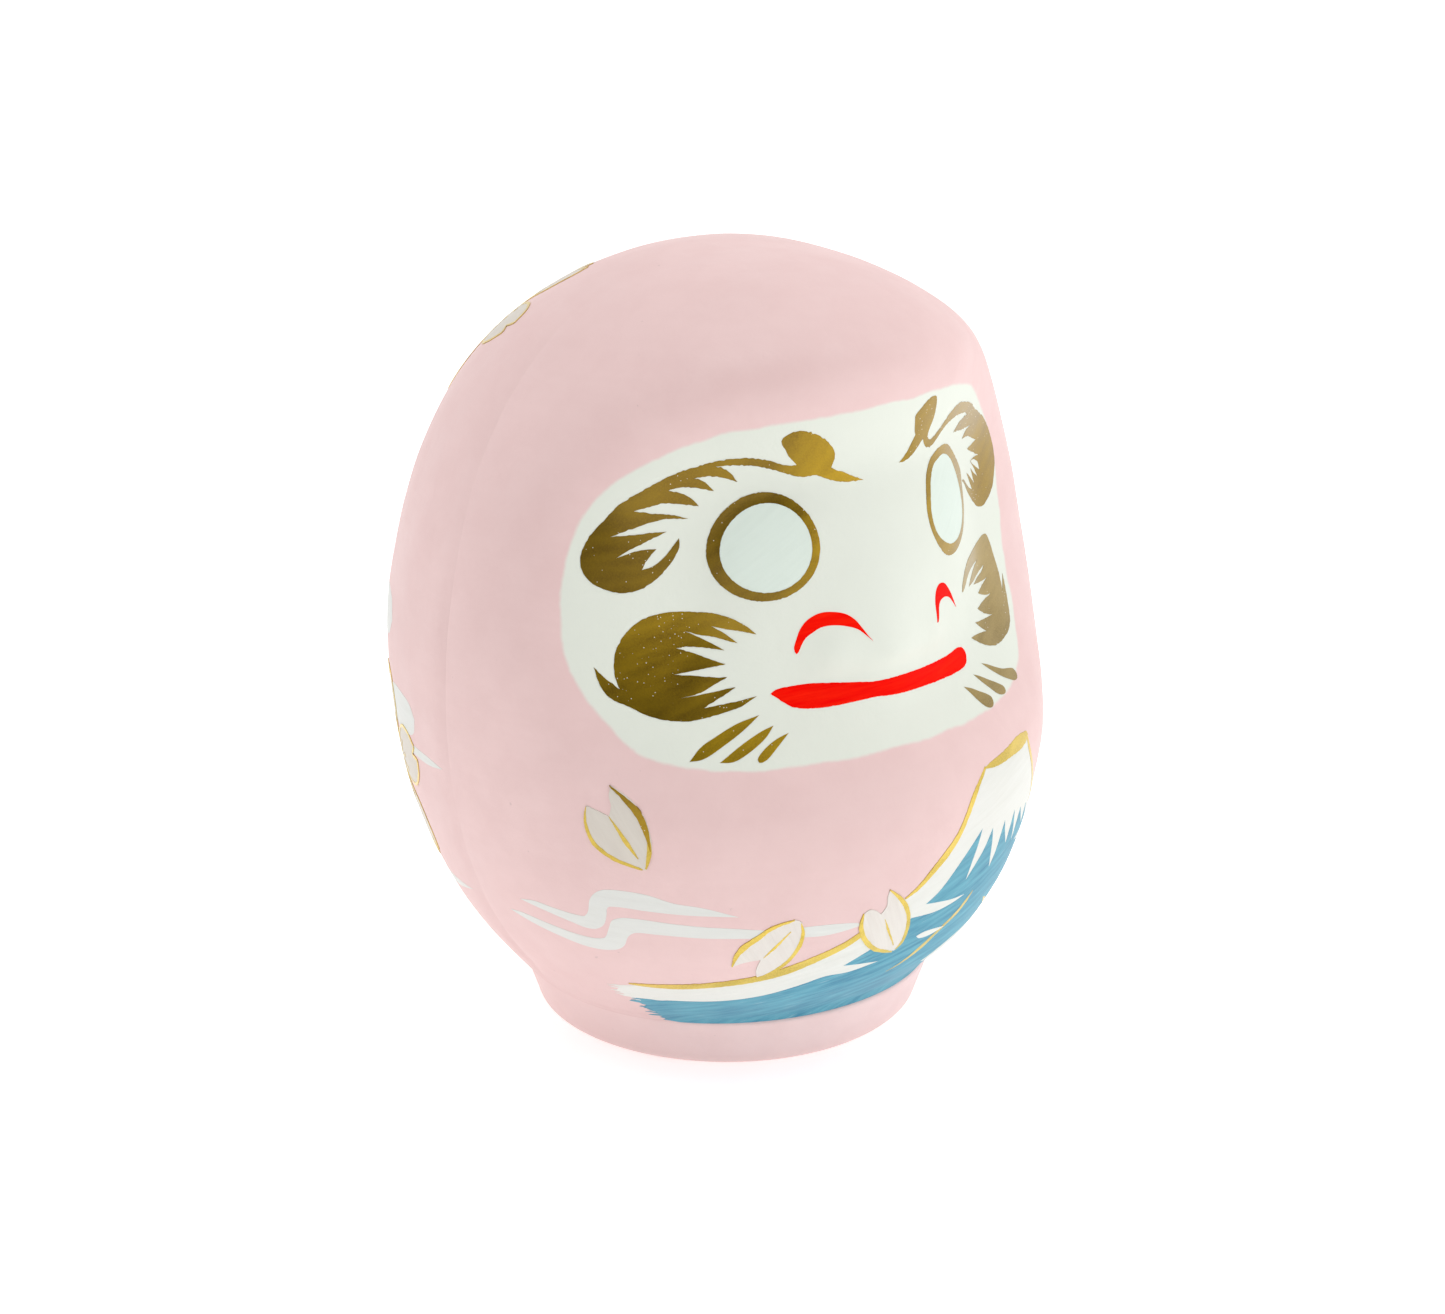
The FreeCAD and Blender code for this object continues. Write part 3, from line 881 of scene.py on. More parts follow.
BROW_LEFT = [
    (8, 46.8, 1), (10, 47.5), (12, 47.9), (13.5, 48), (15, 47.7), (15.8, 47), (16.2, 46.3),
    (15.9, 45.6), (15.6, 45), (16.5, 44.5), (17.5, 44.3), (19, 44.5), (21, 45), (23, 45.6),
    (25, 46.1), (27, 46.4), (29, 46.5), (32, 46.3), (36, 45.8), (40, 45), (43, 44), (46, 43),
    (49, 41.8), (51.5, 40.5), (53.5, 39), (55.3, 37), (56.5, 34.8), (56.9, 33), (56.8, 31.5),
    (56, 30.2), (54.8, 28.6), (53, 27.6), (51, 27.05), (49.5, 27), (47.8, 27.6), (46, 29),
    (44.5, 30.6), (42.5, 32.5), (40.5, 34.4), (38.3, 35.4, 1), (40.2, 35.2), (42, 34.1),
    (44, 32.7), (45.9, 31.7, 1), (45, 33.2), (43.4, 35.5, 1), (45, 34.4), (47.3, 32.3, 1),
    (46.6, 34), (45.9, 35.4, 1), (47.5, 34), (49.2, 32.8, 1), (47.5, 35), (45.8, 36.6, 1),
    (47.5, 35.4), (50.2, 33.5, 1), (49.4, 35.2), (47.6, 36.3), (45.8, 36.7, 1), (47.8, 36.6),
    (49.8, 36.1, 1), (47, 37.6), (43.4, 39.2, 1), (46, 39.1), (48.2, 39, 1), (45.5, 40.1),
    (42.5, 41.1), (38.7, 41.6, 1), (40, 42.2), (43.1, 42.3, 1), (39, 42.8), (35, 43.3),
    (31.2, 43.7, 1), (33, 44.2), (35.5, 44.45), (38.5, 44.3, 1), (36, 44.9), (33, 45.2),
    (30, 45.4), (27, 45.3), (24, 45), (21.5, 44.3), (19.5, 43.7), (17.8, 43.5), (16, 43.7),
    (15, 44.1), (14.2, 44.6), (13.3, 44.4), (12, 43.8), (10.5, 43.2), (8.5, 42.8), (6, 42.7, 1),
    (8, 43.5), (9.5, 44.5), (10.3, 45.2, 1), (9.2, 45.9),
]


def gold_hair(name, points, seed, material):
    """A brow or whiskers, in gold with a slightly uneven edge."""
    painted(name, [feathered(outline(points), 0.12, 2.4, seed)], 2, material)


# The right brow's gold has painted shade; the left brow's is the plain gold.
gold_hair("brow_right", BROW_RIGHT, 1, GOLD_SHADED)
gold_hair("brow_left", BROW_LEFT, 2, GOLD)

# ---------------------------------------------------------------- eyes


def oval(centre, wide, tall, lean=0.0):
    """An oval outline, fuller towards one side when it leans."""
    found = []
    for k in range(24):
        a = math.radians(15.0 * k)
        x = math.cos(a)
        y = math.sin(a)
        found.append((centre[0] + wide * x, centre[1] + tall * y * (1.0 + lean * x)))
    return found


EYE_LEFT_OUT = [
    (14.5, 34), (15, 37), (16.3, 40), (18.5, 41.9), (21.5, 42.7), (25, 43), (28.5, 42.6),
    (32, 41.3), (35, 39.6), (37.2, 38), (38, 36.9), (37.6, 35.4), (36.8, 33.5), (35.8, 31.3),
    (34.5, 29), (33, 27), (30.5, 25.4), (27.5, 24.3), (24.8, 24), (22, 24.5), (19.5, 25.9),
    (17, 28.2), (15.3, 30.8),
]
EYE_LEFT_IN = [
    (16.2, 34), (16.8, 36.8), (18, 39.2), (20, 40.9), (22.5, 41.5), (25, 41.8), (28, 41.3),
    (31, 39.9), (33, 37.6), (34.1, 35), (34.1, 32), (33.2, 29.5), (31.5, 27.7), (29, 26.5),
    (26, 26.1), (23.5, 26.4), (20.5, 27.6), (18, 29.3), (16.6, 31.5),
]


def eye(side, outer, inner):
    """A blank eye: a painted disc and the gold ring round it."""
    out = around(outline(outer), 150)
    into = around(outline(inner), 150)
    painted("eye_disc_" + side, [into], 1, EYE)
    points, faces, rim = ring_mesh(feathered(out, 0.12, 2.0, 5), feathered(into, 0.1, 2.0, 6), 2)
    # The ring's gold has painted shade on the doll's right side.
    piece("eye_ring_" + side, points, faces, GOLD_SHADED, rim)


eye("right", oval((-29.7, 31.8), 12.65, 9.25, 0.02), oval((-29.15, 31.8), 10.25, 7.65, 0.03))
eye("left", EYE_LEFT_OUT, EYE_LEFT_IN)

# ---------------------------------------------------------------- nose and mouth

NOSTRIL_RIGHT = [
    (-23.3, 12.5), (-22.8, 14.5), (-22, 16.5), (-20.5, 18.2), (-18.5, 19.2), (-16.8, 19.5),
    (-14.5, 19.3), (-12, 18.6), (-10, 17.2), (-8.5, 15.3), (-7.2, 13.5), (-6.2, 12.3, 1),
    (-8, 14), (-9.5, 15.2), (-11.5, 16), (-13.5, 16.5), (-15.5, 16.7), (-17.5, 16.5),
    (-19.5, 15.5), (-20.8, 14.6), (-21.8, 13), (-22.3, 11.8), (-22.8, 11.4),
]
NOSTRIL_LEFT = [
    (14, 12, 1), (14.2, 14), (14.5, 16.5), (15.3, 18.3), (16.5, 19.3), (18, 19.6), (20, 19.2),
    (22.3, 17.6), (24.5, 15.4), (27.2, 12.2, 1), (25, 14), (23, 15.4), (21, 16.1), (19, 16.3),
    (17, 15.9), (15.9, 14.9), (15.3, 13.4), (14.6, 12.1),
]
MOUTH = [
    (-28.6, 3.3, 1), (-27.5, 4), (-25, 4.4), (-20, 4.7), (-15, 4.4), (-10, 3.9), (-5, 3.4),
    (3, 3.4), (10, 3.2), (20, 2.9), (26, 3.2), (27.6, 2.7), (28.2, 1.6), (27.8, 0.5),
    (26.8, -0.4), (25, -0.9), (20, -1.1), (10, -0.8), (0, -0.4), (-5, 0), (-10, -0.2),
    (-17, -0.5), (-22, -0.2), (-24.5, 0.5), (-26.5, 1.8),
]

painted("nostril_right", [outline(NOSTRIL_RIGHT)], 2, RED)
painted("nostril_left", [outline(NOSTRIL_LEFT)], 2, RED)
painted("mouth", [feathered(outline(MOUTH), 0.1, 1.5, 3)], 2, RED)

# ---------------------------------------------------------------- whiskers

WHISKER_RIGHT = [
    (-31.5, 16, 1), (-33, 17.3), (-35, 18.5), (-37.5, 19.6), (-41, 20.4), (-45, 20.5),
    (-49, 20.2), (-52, 19.4), (-54.5, 18), (-56.5, 15.8), (-57.8, 13), (-58.1, 10.5),
    (-57.7, 8), (-56.8, 5.8, 1), (-58, 6.8), (-59.5, 8), (-61, 9.5, 1), (-60.5, 8),
    (-59.8, 6.5), (-58.8, 5), (-57.5, 4), (-55, 2.8), (-53, 1.7), (-50.5, 0.7), (-48, 0.1),
    (-45, -0.2), (-42, 0), (-38, 0.7), (-35, 1.4), (-31.6, 3.1, 1), (-34, 2.7), (-37, 2.3),
    (-42.2, 1.8, 1), (-40, 3), (-38, 4), (-36, 5.2, 1), (-38, 5), (-41, 4.5), (-46.8, 3.8, 1),
    (-43, 4.6), (-40, 6.2), (-37.7, 7.3, 1), (-40, 7.4), (-44, 7.9), (-48.2, 8.2, 1),
    (-45, 8.8), (-41, 9.5), (-38.1, 10, 1), (-41, 11), (-45, 12.5), (-47.9, 13.3, 1),
    (-46, 13.6), (-43, 13.5), (-38.3, 12.9, 1), (-40, 13.8), (-43, 15.3), (-46.4, 16.7, 1),
    (-44, 16.1), (-40.5, 15.6), (-35.6, 14.3, 1), (-37.5, 15.8), (-39.5, 17),
    (-41.1, 17.8, 1), (-38, 17.2), (-35, 16.8),
]
WHISKER_LEFT = [
    (31, 14.6, 1), (31.3, 16), (32.2, 17.6), (33.5, 19), (35.5, 20.2), (38, 20.6), (42, 21),
    (45, 21.5), (47.5, 21.8), (49, 21.5), (49.8, 20), (50.3, 18), (50.8, 15), (51.1, 12.5),
    (51, 10.5), (50.4, 8, 1), (51.4, 9.6), (52.4, 11.4, 1), (52, 8.8), (51.1, 6), (50.3, 4),
    (49, 2.2), (47, 0.9), (45, 0.3), (43, -0.1), (40, -0.2), (37.5, 0.4), (35, 1.7),
    (33.5, 2.8), (32.5, 3.5, 1), (34, 3.6), (36, 3.5), (39.3, 3.1, 1), (37.8, 4.3),
    (36.3, 5.9, 1), (39, 5.6), (44, 5.3, 1), (41.5, 6.3), (39, 8.2, 1), (42, 9),
    (46, 9.4, 1), (43.5, 9.9), (41, 11.2, 1), (43.5, 12.2), (46.2, 13, 1), (43.5, 13.1),
    (39.4, 13.7, 1), (42, 14.5), (44.5, 15), (46.2, 16, 1), (42.5, 15.3), (39, 14.5),
    (36, 14.3, 1), (38, 15.9), (40.8, 17.2), (43.4, 18.1, 1), (40, 17.9), (37, 17.5),
    (35, 16.8), (33.5, 15.6), (32.3, 14.7), (31.5, 14.3),
]
STROKES_RIGHT = [
    [(-31.3, -0.5, 1), (-36, -1.6), (-40, -3.3), (-42.5, -4.6), (-44.3, -6.5, 1), (-42, -6.4),
     (-38, -4.6), (-34.5, -2.7)],
    [(-28.5, -2.6, 1), (-31, -3.3), (-35, -5), (-39, -7.2, 1), (-36.5, -7.3), (-33, -6),
     (-30, -4.2)],
    [(-25.5, -4.1, 1), (-28, -4.8), (-30.5, -6), (-32.1, -7.4), (-31.8, -7.9), (-30.5, -7.7),
     (-28, -6)],
]
STROKES_LEFT = [
    [(32, -1.8, 1), (34, -2.6), (36, -3.6), (38, -4.4), (40, -4.8), (41.6, -5.3), (41.9, -6.2),
     (41.2, -6.9), (39.8, -7), (38, -6.3), (36, -5.2), (34, -3.7)],
    [(27.3, -2.9, 1), (29, -3.6), (31, -4.7), (33.5, -6), (34.9, -7), (34.6, -7.7), (33, -7.9),
     (31.5, -7.4), (30, -6), (28.5, -4.4)],
    [(22, -4, 1), (24, -4.7), (26, -5.7), (28, -6.7), (28.8, -7.4), (28.3, -8.3), (26.8, -8.7),
     (25.3, -8.2), (24, -6.8), (23, -5.3)],
]

gold_hair("whiskers_right", WHISKER_RIGHT, 7, GOLD)
# Painted light: the left whiskers and the left beard strokes use the paler, lighter copy of the gold.
gold_hair("whiskers_left", WHISKER_LEFT, 8, GOLD_PALE_LIT)
# Painted reflection: the right beard strokes use the brighter, warmer copy of the gold.
painted("beard_strokes_right", [outline(s) for s in STROKES_RIGHT], 2, GOLD_WARM_LIT)
painted("beard_strokes_left", [outline(s) for s in STROKES_LEFT], 2, GOLD_PALE_LIT)

# ---------------------------------------------------------------- mountain

CREASE = -57.75                             # the blue ends here, over the joint with the foot
SLOPE = [
    (-60.5, -47.4), (-55, -46.5), (-50, -46), (-40, -44.7), (-30, -43), (-25, -41.8),
    (-20, -40.2), (-15, -38.2), (-8, -34.6), (-3.8, -32.2), (-1, -31), (2, -28.8), (5, -26.5),
    (8, -23.5), (10, -20.5), (12, -18.3), (14, -16.9), (16.5, -15.5), (20, -15.3), (25, -15),
    (30, -14.6), (34.3, -14.5, 1), (34.2, -17), (36, -20.5), (39, -24), (43, -27.5), (49, -32),
    (56, -36), (64, -39.5), (74, -43), (85, -45.5), (97, -46.5),
]
SNOW_FOOT = [
    (99, -49, 1), (85, -52), (60, -52), (40, -52), (10, -52), (-20, -53), (-40, -53),
    (-57, -52.2), (-60.5, -50.6), (-62.5, -49.2),
]
BLUE_TOP = [
    (-50, -50.3), (-40, -49.6), (-30, -48.2), (-22, -46.2), (-17.5, -45), (-12, -45),
    (-5.3, -44.1, 1), (-9, -43.7), (-14, -43.1, 1), (-11, -41.7), (-8.5, -40.5), (-5, -38.6),
    (-1, -36.4, 1), (5, -36.8), (10, -36.4), (13.7, -35.8, 1), (9, -35.5), (5, -35),
    (2, -34.6, 1), (5, -33), (8.5, -30), (12, -27), (14.6, -24.8, 1), (14, -27.5), (13.2, -30),
    (12.3, -33.1, 1), (14.5, -31), (16.5, -29), (17.8, -27), (18.5, -25.8, 1), (19.2, -28),
    (19.9, -31), (20.7, -33.3, 1), (21.8, -31), (22.5, -28.5), (23.3, -25.9, 1), (24.3, -28),
    (26.3, -30.8, 1), (26.8, -28), (27.5, -25.3, 1), (28.6, -28), (30.2, -31.8, 1),
    (30.6, -29), (31.4, -26, 1), (33.5, -28.3), (36.2, -30.5, 1), (36.1, -28.5),
    (36.2, -26.8, 1), (38.5, -29.2), (41, -32, 1), (41.6, -30.3), (42.6, -29, 1), (45, -32),
    (47.5, -35, 1), (48.4, -33.9), (50, -33.2, 1), (53, -36.3), (56, -39.3, 1), (57.5, -38.4),
    (59.5, -38, 1), (65, -41.8), (73, -45.4), (85, -48.9), (96, -50.6),
]


def dry_end(start, finish, out, teeth, seed):
    """Ragged end of a dry brush, between two places, reaching out sideways."""
    rng = random.Random(seed)
    found = []
    for k in range(teeth):
        f = (k + 0.5) / teeth
        lon = start[0] * (1 - f) + finish[0] * f
        lat = start[1] * (1 - f) + finish[1] * f
        step = (finish[1] - start[1]) / teeth
        reach = out * rng.uniform(0.3, 1.0)
        found.append((lon + reach, lat - 0.12 * step))
        found.append((lon - out * rng.uniform(0.0, 0.4), lat + 0.35 * step))
    return found


def bristles(start, finish, reach, count, seed):
    """Thin dry-brush marks that trail off sideways between two places."""
    rng = random.Random(seed)
    marks = []
    for _ in range(count):
        f = rng.random()
        lon = start[0] * (1 - f) + finish[0] * f
        lat = start[1] * (1 - f) + finish[1] * f
        size = reach * rng.uniform(0.35, 1.0)
        lift = size * rng.uniform(-0.12, 0.05)
        wide = rng.uniform(0.12, 0.3)
        marks.append(stroke([(lon + 1.0, lat, wide), (lon - size / 2, lat + lift / 2, wide),
                             (lon - size, lat + lift, 0.05)]))
    return marks


slope_line = outline(SLOPE, closed=False)
painted("snow", [feathered(slope_line + outline(SNOW_FOOT, closed=False), 0.1, 1.2, 11)], 1,
        SNOW)

blue_shape = outline(BLUE_TOP, closed=False)
blue_shape += dry_end((97, -51.2), (96, CREASE), 1.6, 6, 3)
blue_shape += [(lon, CREASE) for lon in range(94, -52, -2)]
blue_shape += dry_end((-53.5, CREASE), (-58.2, -51.4), -1.6, 9, 4)
blue_shape += [(-58.6, -50.9), (-56, -50.7)]
painted("mountain_side", [blue_shape], 2, BLUE)
painted("mountain_bristle_marks", bristles((-58.4, -51.0), (-54.5, -56.6), 3.4, 16, 21), 2,
        BLUE)
painted("snow_bristle_marks", bristles((-60.5, -47.4), (-60, -50.8), 4.2, 14, 22), 1,
        SNOW)

# A white streak in the blue near its lower edge, on the doll's left side.
WHITE_STREAK = [
    (12.5, -50, 1), (17, -47.6), (22, -46), (28, -44.9), (36, -43.8), (45, -43.4, 1),
    (44, -46), (37, -48.6), (28, -50.4), (20, -51.3), (16, -51.2),
]
ISLAND = [
    (2.4, -40.8, 1), (4, -40.4), (7, -40.5), (10.5, -41, 1), (8, -41.5), (5, -41.7), (3.3, -41.4),
]
# Painted highlight: the gleam is a white sliver on the blue of the doll's left side.
RIGHT_GLEAM = [(33, -32.2, 1), (37, -31.9), (42, -33.4, 1), (38, -33.2)]
painted("white_patches_and_painted_gleam", [outline(WHITE_STREAK), outline(ISLAND), outline(RIGHT_GLEAM)], 3,
        SNOW)

SLOPE_LEFT_GOLD = [
    (-58.5, -46.5, 0.2), (-55, -46.4, 0.7), (-48, -45.9, 1.15), (-40, -44.8, 1.2),
    (-32, -43.6, 1.3), (-26, -42.2, 1.6), (-20, -40.3, 1.3), (-15, -38.4, 1.2),
    (-11, -36.3, 1.0),
]
SLOPE_RIGHT_GOLD = [
    (-3.8, -32.3, 0.2), (-1, -31, 0.7), (2, -28.9, 1.1), (5, -26.5, 1.4), (7.5, -24, 1.1),
    (9.5, -21.3, 1.0), (11.5, -18.9, 1.0), (13.5, -17.3, 0.6), (16.6, -15.5, 0.3),
]
CRATER_GOLD = [
    (16.5, -15.6, 0.2), (19, -15.6, 0.9), (22, -15.5, 1.2), (26, -15.2, 1.5), (30, -14.9, 1.9),
    (32.5, -14.7, 1.6), (34.7, -14.4, 0.6),
]
FAR_SLOPE_GOLD = [
    (34.2, -14.4, 0.5), (34.1, -17, 0.9), (36, -20.6, 0.8), (39, -24.2, 0.9), (43, -27.6, 1.1),
    (49, -32, 1.3), (56, -36, 1.2), (64, -39.6, 1.3), (74, -43, 1.1), (85, -45.4, 0.9),
    (96, -46.5, 0.2),
]
RIDGE_GOLD = [
    (-1, -48, 0.1), (2, -46.8, 0.4), (4.5, -45.4, 0.8), (6.5, -43.9, 1.1), (8.5, -42.1, 0.8),
    (11, -40.5, 0.7), (13.5, -39.1, 0.9), (15.3, -37.4, 0.8), (16.6, -36, 0.1),
]
RIDGE_GOLD_FAR = [(25.5, -40.2, 0.1), (28, -41.4, 0.8), (30.5, -42.9, 0.6), (33, -44.6, 0.1)]


def gold_line(name, *lines, layer=4, material=GOLD_FINE):
    """Some gold brush lines as one piece."""
    shapes = [feathered(stroke(line), 0.1, 2.6, k) for k, line in enumerate(lines)]
    painted(name, shapes, layer, material)


gold_line("mountain_outline_right", SLOPE_LEFT_GOLD)
gold_line("mountain_outline_front", SLOPE_RIGHT_GOLD)
gold_line("crater_line", CRATER_GOLD)
gold_line("mountain_outline_left", FAR_SLOPE_GOLD, layer=3)
gold_line("ridge_lines", RIDGE_GOLD, RIDGE_GOLD_FAR, layer=3)

# ---------------------------------------------------------------- mist

MIST_UPPER = [
    (-77.5, -32.5, 1), (-74, -32), (-70, -32.3), (-65, -32.7), (-63.5, -32.6), (-62.6, -31.5),
    (-62, -29.5), (-61, -28.2), (-59.5, -27.3), (-57.5, -27), (-54, -27.1), (-51, -27.5),
    (-47, -28.6), (-42, -29.3), (-35.7, -31, 1), (-40, -30.8), (-46, -30.6), (-52, -30.3),
    (-57, -30), (-58.7, -30.3), (-59.2, -32), (-60, -33.7), (-61.5, -34.7), (-63.5, -34.9),
    (-67, -34.2), (-72, -33.3),
]
MIST_LOWER = [
    (-81.5, -35.6, 1), (-78, -35.3), (-72, -35.9), (-66, -36.6), (-62, -36.7), (-60.3, -36.2),
    (-59.3, -34.5), (-58.3, -32.7), (-56.5, -32), (-54, -31.9), (-48, -32.3), (-42, -32.7),
    (-36, -33.1), (-30, -33.7), (-24, -33.8), (-18, -34), (-13.5, -34.6), (-12, -35.1, 1),
    (-15, -35.5), (-20, -35.9), (-25, -35.6), (-30, -35.2), (-36, -34.9), (-42, -34.8),
    (-50, -34.6), (-54.5, -34.7), (-55.8, -35.6), (-56.8, -37.4), (-58.3, -38.4),
    (-61, -38.9), (-65, -38.8), (-70, -38), (-76, -36.8),
]
painted("mist_upper", [outline(MIST_UPPER)], 1, MIST)
painted("mist_lower", [outline(MIST_LOWER)], 1, MIST)

# ---------------------------------------------------------------- falling petals

PETALS = {
    "petal_side": {
        "body": [(-56.8, -9.3, 1), (-53.5, -11.4), (-51.2, -14.1), (-50.2, -17), (-50.1, -20),
                 (-51.2, -23, 1), (-54.5, -22.2), (-57.5, -21), (-60, -18.9), (-61, -16.5),
                 (-61, -14.5), (-60.7, -12.8, 1), (-59.3, -13.3), (-57, -14.2, 1),
                 (-56.6, -12.5), (-57, -11)],
        "bold": [[(-57, -9.3, 0.1), (-54.7, -11.1, 0.6), (-52.3, -13.4, 1.15), (-50.9, -16.4, 0.9),
                  (-50.3, -19.6, 0.1)]],
        "gold": [[(-50.6, -16.4, 0.1), (-50.45, -18.4, 0.6), (-50.5, -20, 0.8),
                  (-51.2, -22.8, 0.3)],
                 [(-60.8, -12.9, 0.1), (-61.1, -15, 0.45), (-60.8, -17, 0.6), (-59.8, -19.1, 0.7),
                  (-57.3, -21, 0.7), (-54.3, -22.2, 0.6), (-51.8, -22.9, 0.3)],
                 [(-57, -14.2, 0.1), (-55.6, -16.2, 0.5), (-54.2, -18.4, 0.8), (-52.4, -21.1, 0.2)]],
    },
    "petal_left_of_mountain": {
        "body": [(-36.8, -40.5, 1), (-36, -38), (-34.7, -36.3), (-32.5, -34.9), (-30, -33.3),
                 (-25.7, -32.2, 1), (-24.4, -32.8), (-24, -35), (-24.3, -37), (-25.4, -39.2),
                 (-27.6, -41.4), (-30, -42.7), (-31.9, -43.2, 1), (-32.2, -41.5),
                 (-31.5, -39.2, 1), (-33.2, -39.4), (-35, -39.8)],
        "gold": [[(-36.8, -40.5, 0.2), (-36, -38.2, 0.7), (-34.7, -36.6, 1.0), (-32.4, -35, 0.8),
                  (-29.8, -33.3, 0.6), (-25.8, -32.2, 0.2)],
                 [(-24.5, -32.9, 0.15), (-24, -35, 0.6), (-24.4, -37.2, 0.7), (-25.6, -39.3, 0.6),
                  (-27.8, -41.4, 0.7), (-30.2, -42.9, 0.8), (-32.2, -43.4, 0.5)],
                 [(-31, -38.8, 0.1), (-29, -36.9, 0.45), (-26.3, -34.2, 0.15)]],
    },
    "petal_on_mountain": {
        "body": [(-7.6, -29.9, 1), (-5.5, -31.6), (-3.5, -33.4), (-2, -35.6), (-1.3, -38),
                 (-1.1, -40.5), (-2.5, -42.4, 1), (-5, -41.9), (-8, -40.7), (-10.5, -38.8),
                 (-12, -36.9), (-12.7, -35), (-12.5, -33.2, 1), (-11.5, -32.6), (-10, -33),
                 (-8.7, -33.9, 1), (-7.7, -32.6), (-7.9, -31.2)],
        "gold": [[(-7.6, -29.9, 0.2), (-5.2, -31.7, 0.6), (-3.2, -33.7, 0.8), (-1.9, -36, 0.7),
                  (-1.3, -38.6, 0.7), (-1.4, -40.9, 0.6), (-2.4, -42.2, 0.2)],
                 [(-12.5, -33.1, 0.2), (-12.6, -35.2, 0.7), (-11.7, -37.3, 0.8),
                  (-10, -39.2, 0.8), (-7.6, -40.9, 0.7), (-5, -41.9, 0.6), (-3, -42.5, 0.2)],
                 [(-7.6, -35, 0.1), (-6, -37.6, 0.4), (-3.4, -41, 0.15)]],
    },
}
for petal, parts in PETALS.items():
    ground, edging = (CREAM, GOLD_PETAL) if "bold" in parts else (CREAM_LIGHT, GOLD_FINE)
    painted(petal, [outline(parts["body"])], 5, ground)
    gold_line(petal + "_outline", *parts["gold"], layer=6, material=edging)
    if "bold" in parts:
        gold_line(petal + "_bold_edge", *parts["bold"], layer=7, material=GOLD)

# ---------------------------------------------------------------- the back's blossoms

PETAL_HALF = [(0.06, 0.0), (0.2, 0.105), (0.42, 0.235), (0.68, 0.29), (0.9, 0.2), (1.0, 0.07)]


def placed(centre, size, turn, points):
    """Points of a flat motif, put on the doll about a centre, turned and sized in degrees."""
    c = math.cos(math.radians(turn))
    s = math.sin(math.radians(turn))
    found = []
    for p in points:
        x = size * (c * p[0] - s * p[1])
        y = size * (s * p[0] + c * p[1])
        lat = centre[1] + y
        lon = centre[0] + x / max(0.3, math.cos(math.radians(lat)))
        found.append((lon, lat, *p[2:]))
    return found


def mirrored(points):
    """Points of a flat motif on the other side of its middle line."""
    return [(x, -y, *rest) for x, y, *rest in points]


def blossom(name, centre, size, turn):
    """A five-petalled cherry blossom: cream petals, gold edges and gold stamens."""
    body = PETAL_HALF + [(0.88, 0.0, 1)] + mirrored(PETAL_HALF)[:0:-1]
    edge = [(x, y, 0.03 if x > 0.3 else 0.018) for x, y in PETAL_HALF]
    notch = [(1.0, 0.07, 0.03), (0.94, 0.03, 0.03), (0.88, 0.0, 0.02)]
    stamens = [[(0.1, 0.0, 0.016), (0.28, side * 0.05, 0.018), (0.42, side * 0.12, 0.01)]
               for side in (-1, 0, 1)]
    bodies = []
    lines = []
    for k in range(5):
        angle = turn + 72.0 * k
        bodies.append(outline(placed(centre, size, angle, body)))
        for line in [edge, mirrored(edge), notch, mirrored(notch)] + stamens:
            flat = placed(centre, size, angle, [p[:2] for p in line])
            lines.append([(lon, lat, p[2] * size) for (lon, lat), p in zip(flat, line)])
        for side in (-1, 0, 1):
            lon, lat = placed(centre, size, angle, [(0.44, side * 0.135)])[0]
            lines.append([(lon + end * 0.016 * size, lat, 0.05 * size) for end in (-1, 1)])
    painted(name, bodies, 3, CREAM)
    gold_line(name + "_lines", *lines, layer=5)


blossom("blossom_side", (-119, -20), 16.5, 20)
blossom("blossom_back", (172, 6), 24, 54)
blossom("blossom_back_low", (-160, -30), 12.5, 8)
blossom("blossom_back_high", (-142, 55), 15.5, 3)
blossom("blossom_left", (128, -18), 14, 70)

BACK_MISTS = [
    [(-92, -13.6, 1), (-97, -13), (-104, -13.1), (-112, -13.6), (-122, -14.4, 1), (-112, -14.8),
     (-104, -14.6), (-97, -14.4)],
    [(-101.5, -8, 1), (-103.5, -6), (-108, -5.2), (-114, -5.4), (-119, -7.2), (-124, -8.2, 1),
     (-120, -10.5), (-113, -12.3), (-106, -11.9), (-102.5, -10.6)],
    [(-93, -35.4, 1), (-101, -36), (-112, -37.2), (-126, -38.8), (-140, -39.4, 1), (-126, -40.6),
     (-112, -39), (-101, -37.4)],
    [(150, -26, 1), (160, -24.6), (172, -24.6), (186, -26), (200, -27.6, 1), (186, -28.8),
     (172, -27.6), (160, -27)],
    [(104, -34.5, 1), (116, -33.4), (130, -33.6), (146, -35.6, 1), (131, -36.8), (116, -36)],
    [(-113.5, 5.5, 1), (-115.5, 8.6), (-121, 9.6), (-130, 8.4), (-140, 7.6, 1), (-132, 5.4),
     (-122, 2.4), (-116, 2.6)],
    [(198, 22, 1), (207, 23.6), (218, 23.8), (232, 22.4, 1), (219, 21.2), (207, 20.9)],
]
painted("back_mist", [outline(band) for band in BACK_MISTS], 1, MIST)

# ---------------------------------------------------------------- floor, light and camera

FLOOR_GLOW = 0.44                           # the tent's cloth floor lets light through from below
FLOOR_TONES = ((0.925, 0.925, 0.925), (0.94, 0.94, 0.94))
FLOOR_REACH = 80.0
CAMERA_TURN = math.radians(-37.86)
CAMERA_RISE = math.radians(17.82)
CAMERA_REACH = 0.6936
LENS = 64.08                                # on a 36 mm sensor
AIM_LEFT, AIM_DOWN = 1.1, 8.3               # how far beside the doll's middle it looks, in mm
BACK = Vector((
    math.sin(CAMERA_TURN) * math.cos(CAMERA_RISE),
    -math.cos(CAMERA_TURN) * math.cos(CAMERA_RISE),
    math.sin(CAMERA_RISE),
))
WHITE_LIGHT = (1.0, 1.0, 1.0)


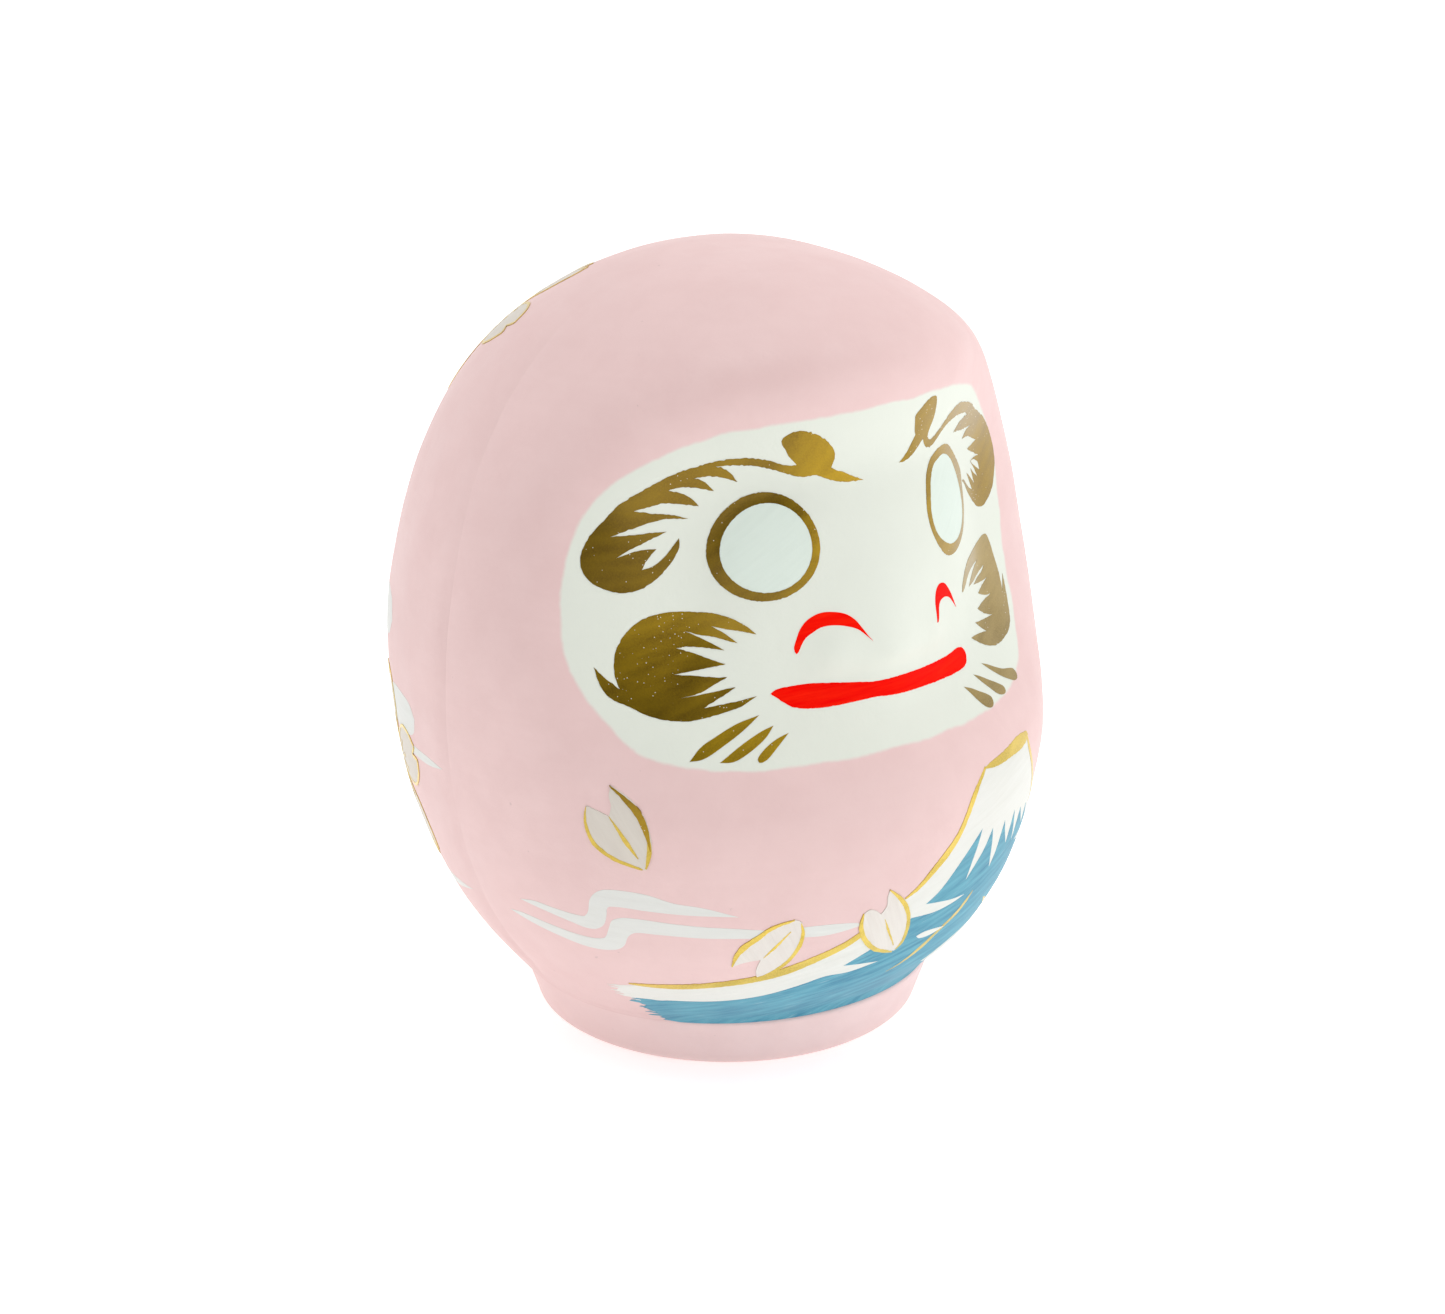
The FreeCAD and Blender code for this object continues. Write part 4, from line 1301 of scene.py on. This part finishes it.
def make_floor():
    """A wide pale floor under the doll."""
    cells = 14
    line = [-FLOOR_REACH + 2 * FLOOR_REACH * i / cells for i in range(cells + 1)]
    points = [(x, y, LOW) for x in line for y in line]
    faces = []
    for i in range(cells):
        for j in range(cells):
            a = i * (cells + 1) + j
            faces.append([a, a + cells + 1, a + cells + 2, a + 1])
    mesh = bpy.data.meshes.new("floor")
    mesh.from_pydata(points, [], faces)
    material, tree, main = shader("pale_floor")
    mottle = spread(tree, cloud(tree, position(tree), 3.0, 2.0), 0.3, 0.7)
    set_inputs(
        tree, main, Base_Color=blend(tree, mottle, *FLOOR_TONES), Roughness=0.95,
        Specular_IOR_Level=0.1, Emission_Color=WHITE_LIGHT, Emission_Strength=FLOOR_GLOW,
    )
    mesh.materials.append(material)
    floor = place_object("floor", mesh)


def make_world():
    """A white light tent, dimmer where its opening for the camera is."""
    world = bpy.data.worlds.new("light_tent")
    bpy.context.scene.world = world
    world.use_nodes = True
    tree = world.node_tree
    where = tree.nodes.new("ShaderNodeTexCoord")
    dot = tree.nodes.new("ShaderNodeVectorMath")
    dot.operation = "DOT_PRODUCT"
    dot.inputs[1].default_value = BACK
    tree.links.new(where.outputs["Generated"], dot.inputs[0])
    level = spread(tree, dot.outputs["Value"], 0.35, 0.93, 1.0, 0.16, soft=True)
    set_inputs(tree, tree.nodes["Background"], Strength=level, Color=WHITE_LIGHT)


def soft_lamp(name, turn, rise, reach, size, power):
    """A large soft lamp that faces the doll."""
    lamp = bpy.data.lights.new(name, "AREA")
    lamp.shape = "DISK"
    lamp.size = size
    lamp.energy = power
    obj = place_object(name, lamp)
    out = direction(turn, rise)
    obj.location = MIDDLE + out * reach
    obj.rotation_euler = out.to_track_quat("Z", "Y").to_euler()


def make_camera():
    """The camera at the photograph's angle."""
    right = Vector((math.cos(CAMERA_TURN), math.sin(CAMERA_TURN), 0.0))
    up = BACK.cross(right)
    aim = MIDDLE - right * AIM_LEFT * MM - up * AIM_DOWN * MM
    data = bpy.data.cameras.new("camera")
    data.sensor_width = 36.0
    data.lens = LENS
    camera = place_object("camera", data)
    camera.location = MIDDLE + BACK * CAMERA_REACH
    camera.rotation_euler = (camera.location - aim).to_track_quat("Z", "Y").to_euler()
    bpy.context.scene.camera = camera


make_floor()
make_world()
soft_lamp("soft_lamp_left", 22, 6, 1.6, 1.0, 4.5)
soft_lamp("soft_lamp_right", -128, 35, 1.8, 1.2, 0.8)
soft_lamp("soft_lamp_above", -10, 78, 1.6, 1.2, 8.0)
make_camera()
bpy.context.scene.view_settings.view_transform = "Standard"
